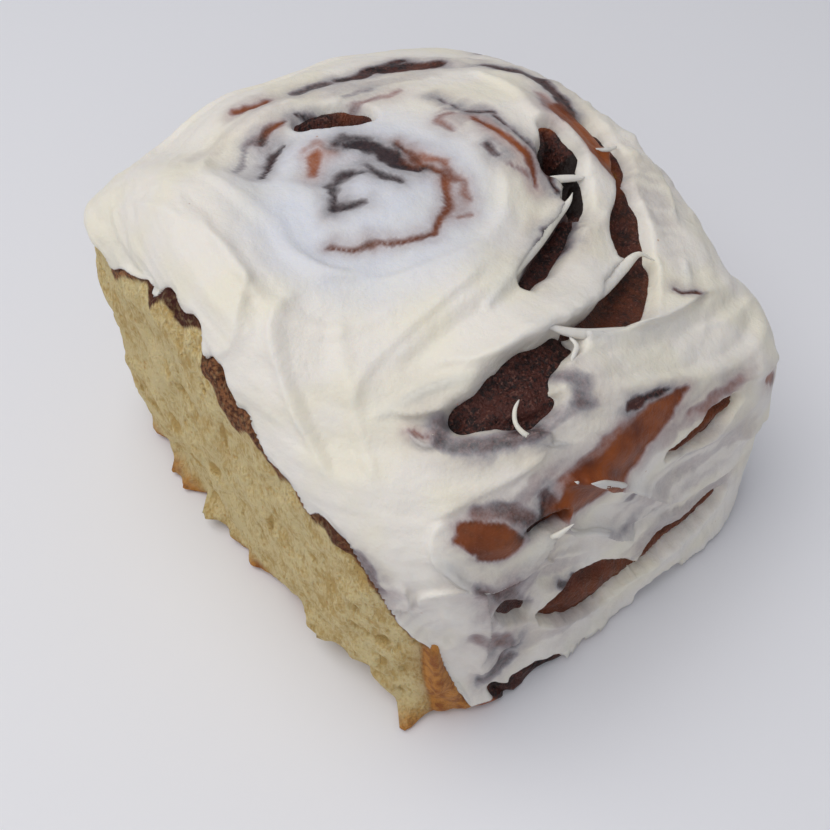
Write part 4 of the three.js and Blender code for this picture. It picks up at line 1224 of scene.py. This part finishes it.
def dough_colour(f, dark):
    """Crust where `dark` is 0, grainy cinnamon filling where it is 1, and near-black painted shade above
    that.
    """
    browning = 0.65 * f.grain(9.0, detail=2.0) + 0.35 * f.grain(2.2)
    crust = f.mix(browning.step(0.20, 0.72), CRUST, CRUST_LIGHT)
    grains = 0.55 * f.grain(0.75, detail=2.0, roughness=0.7) + 0.45 * f.grain(3.2)
    filling = f.mix(grains.step(0.42, 0.56), FILLING_DARK, FILLING)
    filling = f.mix(f.grain(0.55, detail=1.0).step(0.58, 0.70) * 0.45, filling, SUGAR)
    # Above 1, `dark` paints the filling near-black: painted shade in a deep gap.
    filling = f.mix(dark.step(0.96, 1.12), filling, HOLLOW_PAINTED_SHADE)
    return f.mix((dark + 0.5 * (f.grain(2.2) - 0.5)).step(0.2, 0.75), crust, filling)


def dough_finish():
    f = Finish("baked_dough", CRUMB)
    names = ("torn", "rind", "dark", "pores", "brown")
    torn, rind, dark, pores, brown = (f.attribute(name) for name in names)
    fibre = f.grain(0.6, stretch=(1, 1, 0.5), detail=3.0)
    tuft = f.grain(2.2, stretch=(1, 1, 0.6), detail=3.0)
    wash = f.grain(9, detail=1.0)
    # Fibre and tuft noise and the pores paint shade into the crumb; the broad wash is its own uneven tone.
    shade = 0.5 + 1.5 * (fibre - 0.5) + 1.3 * (tuft - 0.5) + 1.0 * (wash - 0.5) - 0.6 * pores
    crumb = f.mix(shade.step(0.0, 0.75), CRUMB_TONE_AND_SHADE, CRUMB)
    speck = f.grain(1.3, detail=1.0).step(0.70, 0.78)
    crumb = f.mix(speck * 0.45, crumb, GOLD)
    shell = dough_colour(f, dark)
    colour = f.mix(torn, shell, crumb)
    toast = f.mix(f.grain(1.7, detail=3.0).step(0.3, 0.66), TOAST, GOLD)
    colour = f.mix((brown * (0.7 + 0.8 * f.grain(1.2))).clamped(), colour, toast)
    rough_rind = f.mix(f.grain(0.7).step(0.4, 0.62), f.mix(dark, RIND_LIGHT, FILLING), RIND_DARK)
    colour = f.mix((rind * (0.5 + 1.0 * f.grain(0.9))).clamped(), colour, rough_rind)
    fluff = (0.8 * fibre + 0.8 * tuft) * (0.35 + 0.65 * torn) * (1 - 0.6 * brown.clamped())
    bump = f.bump(fluff + 0.3 * f.grain(0.5), 1.2)
    return f.finish({"Base Color": colour, "Roughness": 0.82 - 0.32 * (1 - torn), "Normal": bump,
                     "Specular IOR Level": 0.25, "Subsurface Weight": 0.2,
                     "Subsurface Radius": (1.0, 0.65, 0.3), "Subsurface Scale": LIGHT_REACH})


# %% [markdown]
# ### Icing
# Thick cream-cheese icing is warm white and lets light a few millimetres in. Where it was scraped thin the
# brown dough shows through it, first lilac-grey and then brown, so its colour follows its thickness.

# %% The icing's colour
CREAM = (0.88, 0.835, 0.77)
CREAM_WARM = (0.88, 0.83, 0.71)
# A bluish cream: painted shade round the coil's middle.
CREAM_PAINTED_SHADE = (0.73, 0.75, 0.82)
CREAM_FILM = (0.70, 0.675, 0.71)
# A cooler, near-black filling: painted shade round the coil's middle.
FILLING_PAINTED_SHADE = (0.030, 0.022, 0.028)
SPECK = (0.45, 0.20, 0.05)


def icing_finish():
    f = Finish("cream_icing", CREAM)
    dark = f.attribute("dark")
    cover = f.attribute("cover") * f.attribute("rim").step(-0.3, 0.5)
    patches = 0.6 * f.grain(0.8, detail=4.0, roughness=0.7) + 0.4 * f.grain(2.8, detail=2.0)
    depth = (cover + 1.2 * (patches - 0.5) * (1.03 - cover) * cover.step(-0.1, 0.3)).clamped()
    cream = f.mix(f.grain(12, detail=1.0).step(0.4, 0.65), CREAM, CREAM_WARM)
    # Painted shade round the coil's middle: the cream turns bluish and the darkest filling darker still.
    cream = f.mix(f.attribute("cool_shade") * (0.55 + 0.6 * f.grain(5, detail=2.0)), cream, CREAM_PAINTED_SHADE)
    cream = f.mix(depth.step(0.5, 1.0), CREAM_FILM, cream)
    shadowed = f.mix(f.attribute("cool_shade") * dark.step(0.6, 0.9) * 0.7, dough_colour(f, dark), FILLING_PAINTED_SHADE)
    colour = f.mix(depth**1.5, shadowed, cream)
    scattered = {"Vector": f.place(), "Scale": 0.11}
    speck = f.node("ShaderNodeTexVoronoi", {"feature": "F1"}, scattered, output="Distance")
    colour = f.mix((1 - speck.step(0.022, 0.034)) * 0.6, colour, SPECK)
    bump = f.bump(f.grain(3.0, detail=6.0, roughness=0.62), 0.42)
    return f.finish({"Base Color": colour, "Roughness": 0.34 + 0.14 * patches, "Normal": bump,
                     "Specular IOR Level": 0.3, "Subsurface Weight": 0.3,
                     "Subsurface Radius": (1.0, 0.85, 0.65), "Subsurface Scale": LIGHT_REACH})


bread.data.materials.append(dough_finish())
icing.data.materials.append(icing_finish())
print("finishes:", [m.name for m in bpy.data.materials if m.name in ("baked_dough", "cream_icing")])

# %% [markdown]
# ## Joining the pieces to the frame

# %% Riding and replacing
own = np.array([v.co for v in bread.data.vertices])
low, high = (np.array(corner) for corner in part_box("baked_roll"))
shift = (low + high) / 2 - (own.min(0) + own.max(0)) / 2
print("offset between the two models, mm:", (shift / MM).round(2))

for piece, node, slot in ((bread, "baked_roll", "baked_dough"), (icing, "cream_cheese_icing", "icing")):
    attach(piece, "root")
    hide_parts(node)

# %% [markdown]
# ## Ground and light

# %% The floor
FLOOR_HALF = 1.5
LIGHT_TARGET = np.array([0, 0, 0.03])


def add_floor():
    corners = FLOOR_HALF * np.array([[-1, -1, 0], [1, -1, 0], [1, 1, 0], [-1, 1, 0]])
    floor = add_mesh("floor", corners / MM, [[0, 1, 2, 3]])
    f = Finish("pale_ground", (0.7, 0.7, 0.74))
    floor.data.materials.append(f.finish({"Base Color": (0.86, 0.865, 0.91, 1), "Roughness": 0.6}))


def add_light(name, energy, size, place, colour):
    data = bpy.data.lights.new(name, "AREA")
    data.energy, data.size, data.color = energy, size, colour
    light = bpy.data.objects.new(name, data)
    light.location = place
    light.rotation_euler = Vector(LIGHT_TARGET - np.array(place)).to_track_quat("-Z", "Y").to_euler()
    bpy.context.scene.collection.objects.link(light)


add_floor()
add_light("key", 3.95, 0.7, (-0.22, 0.16, 0.78), (1.0, 0.985, 0.96))
add_light("fill", 0.75, 0.6, (-0.45, -0.5, 0.45), (0.97, 0.98, 1.0))
world = bpy.data.worlds.new("room")
bpy.context.scene.world = world
world.use_nodes = True
background = world.node_tree.nodes["Background"]
background.inputs["Color"].default_value = (0.80, 0.82, 0.88, 1)
background.inputs["Strength"].default_value = 0.34
bpy.context.scene.view_settings.view_transform = "Standard"
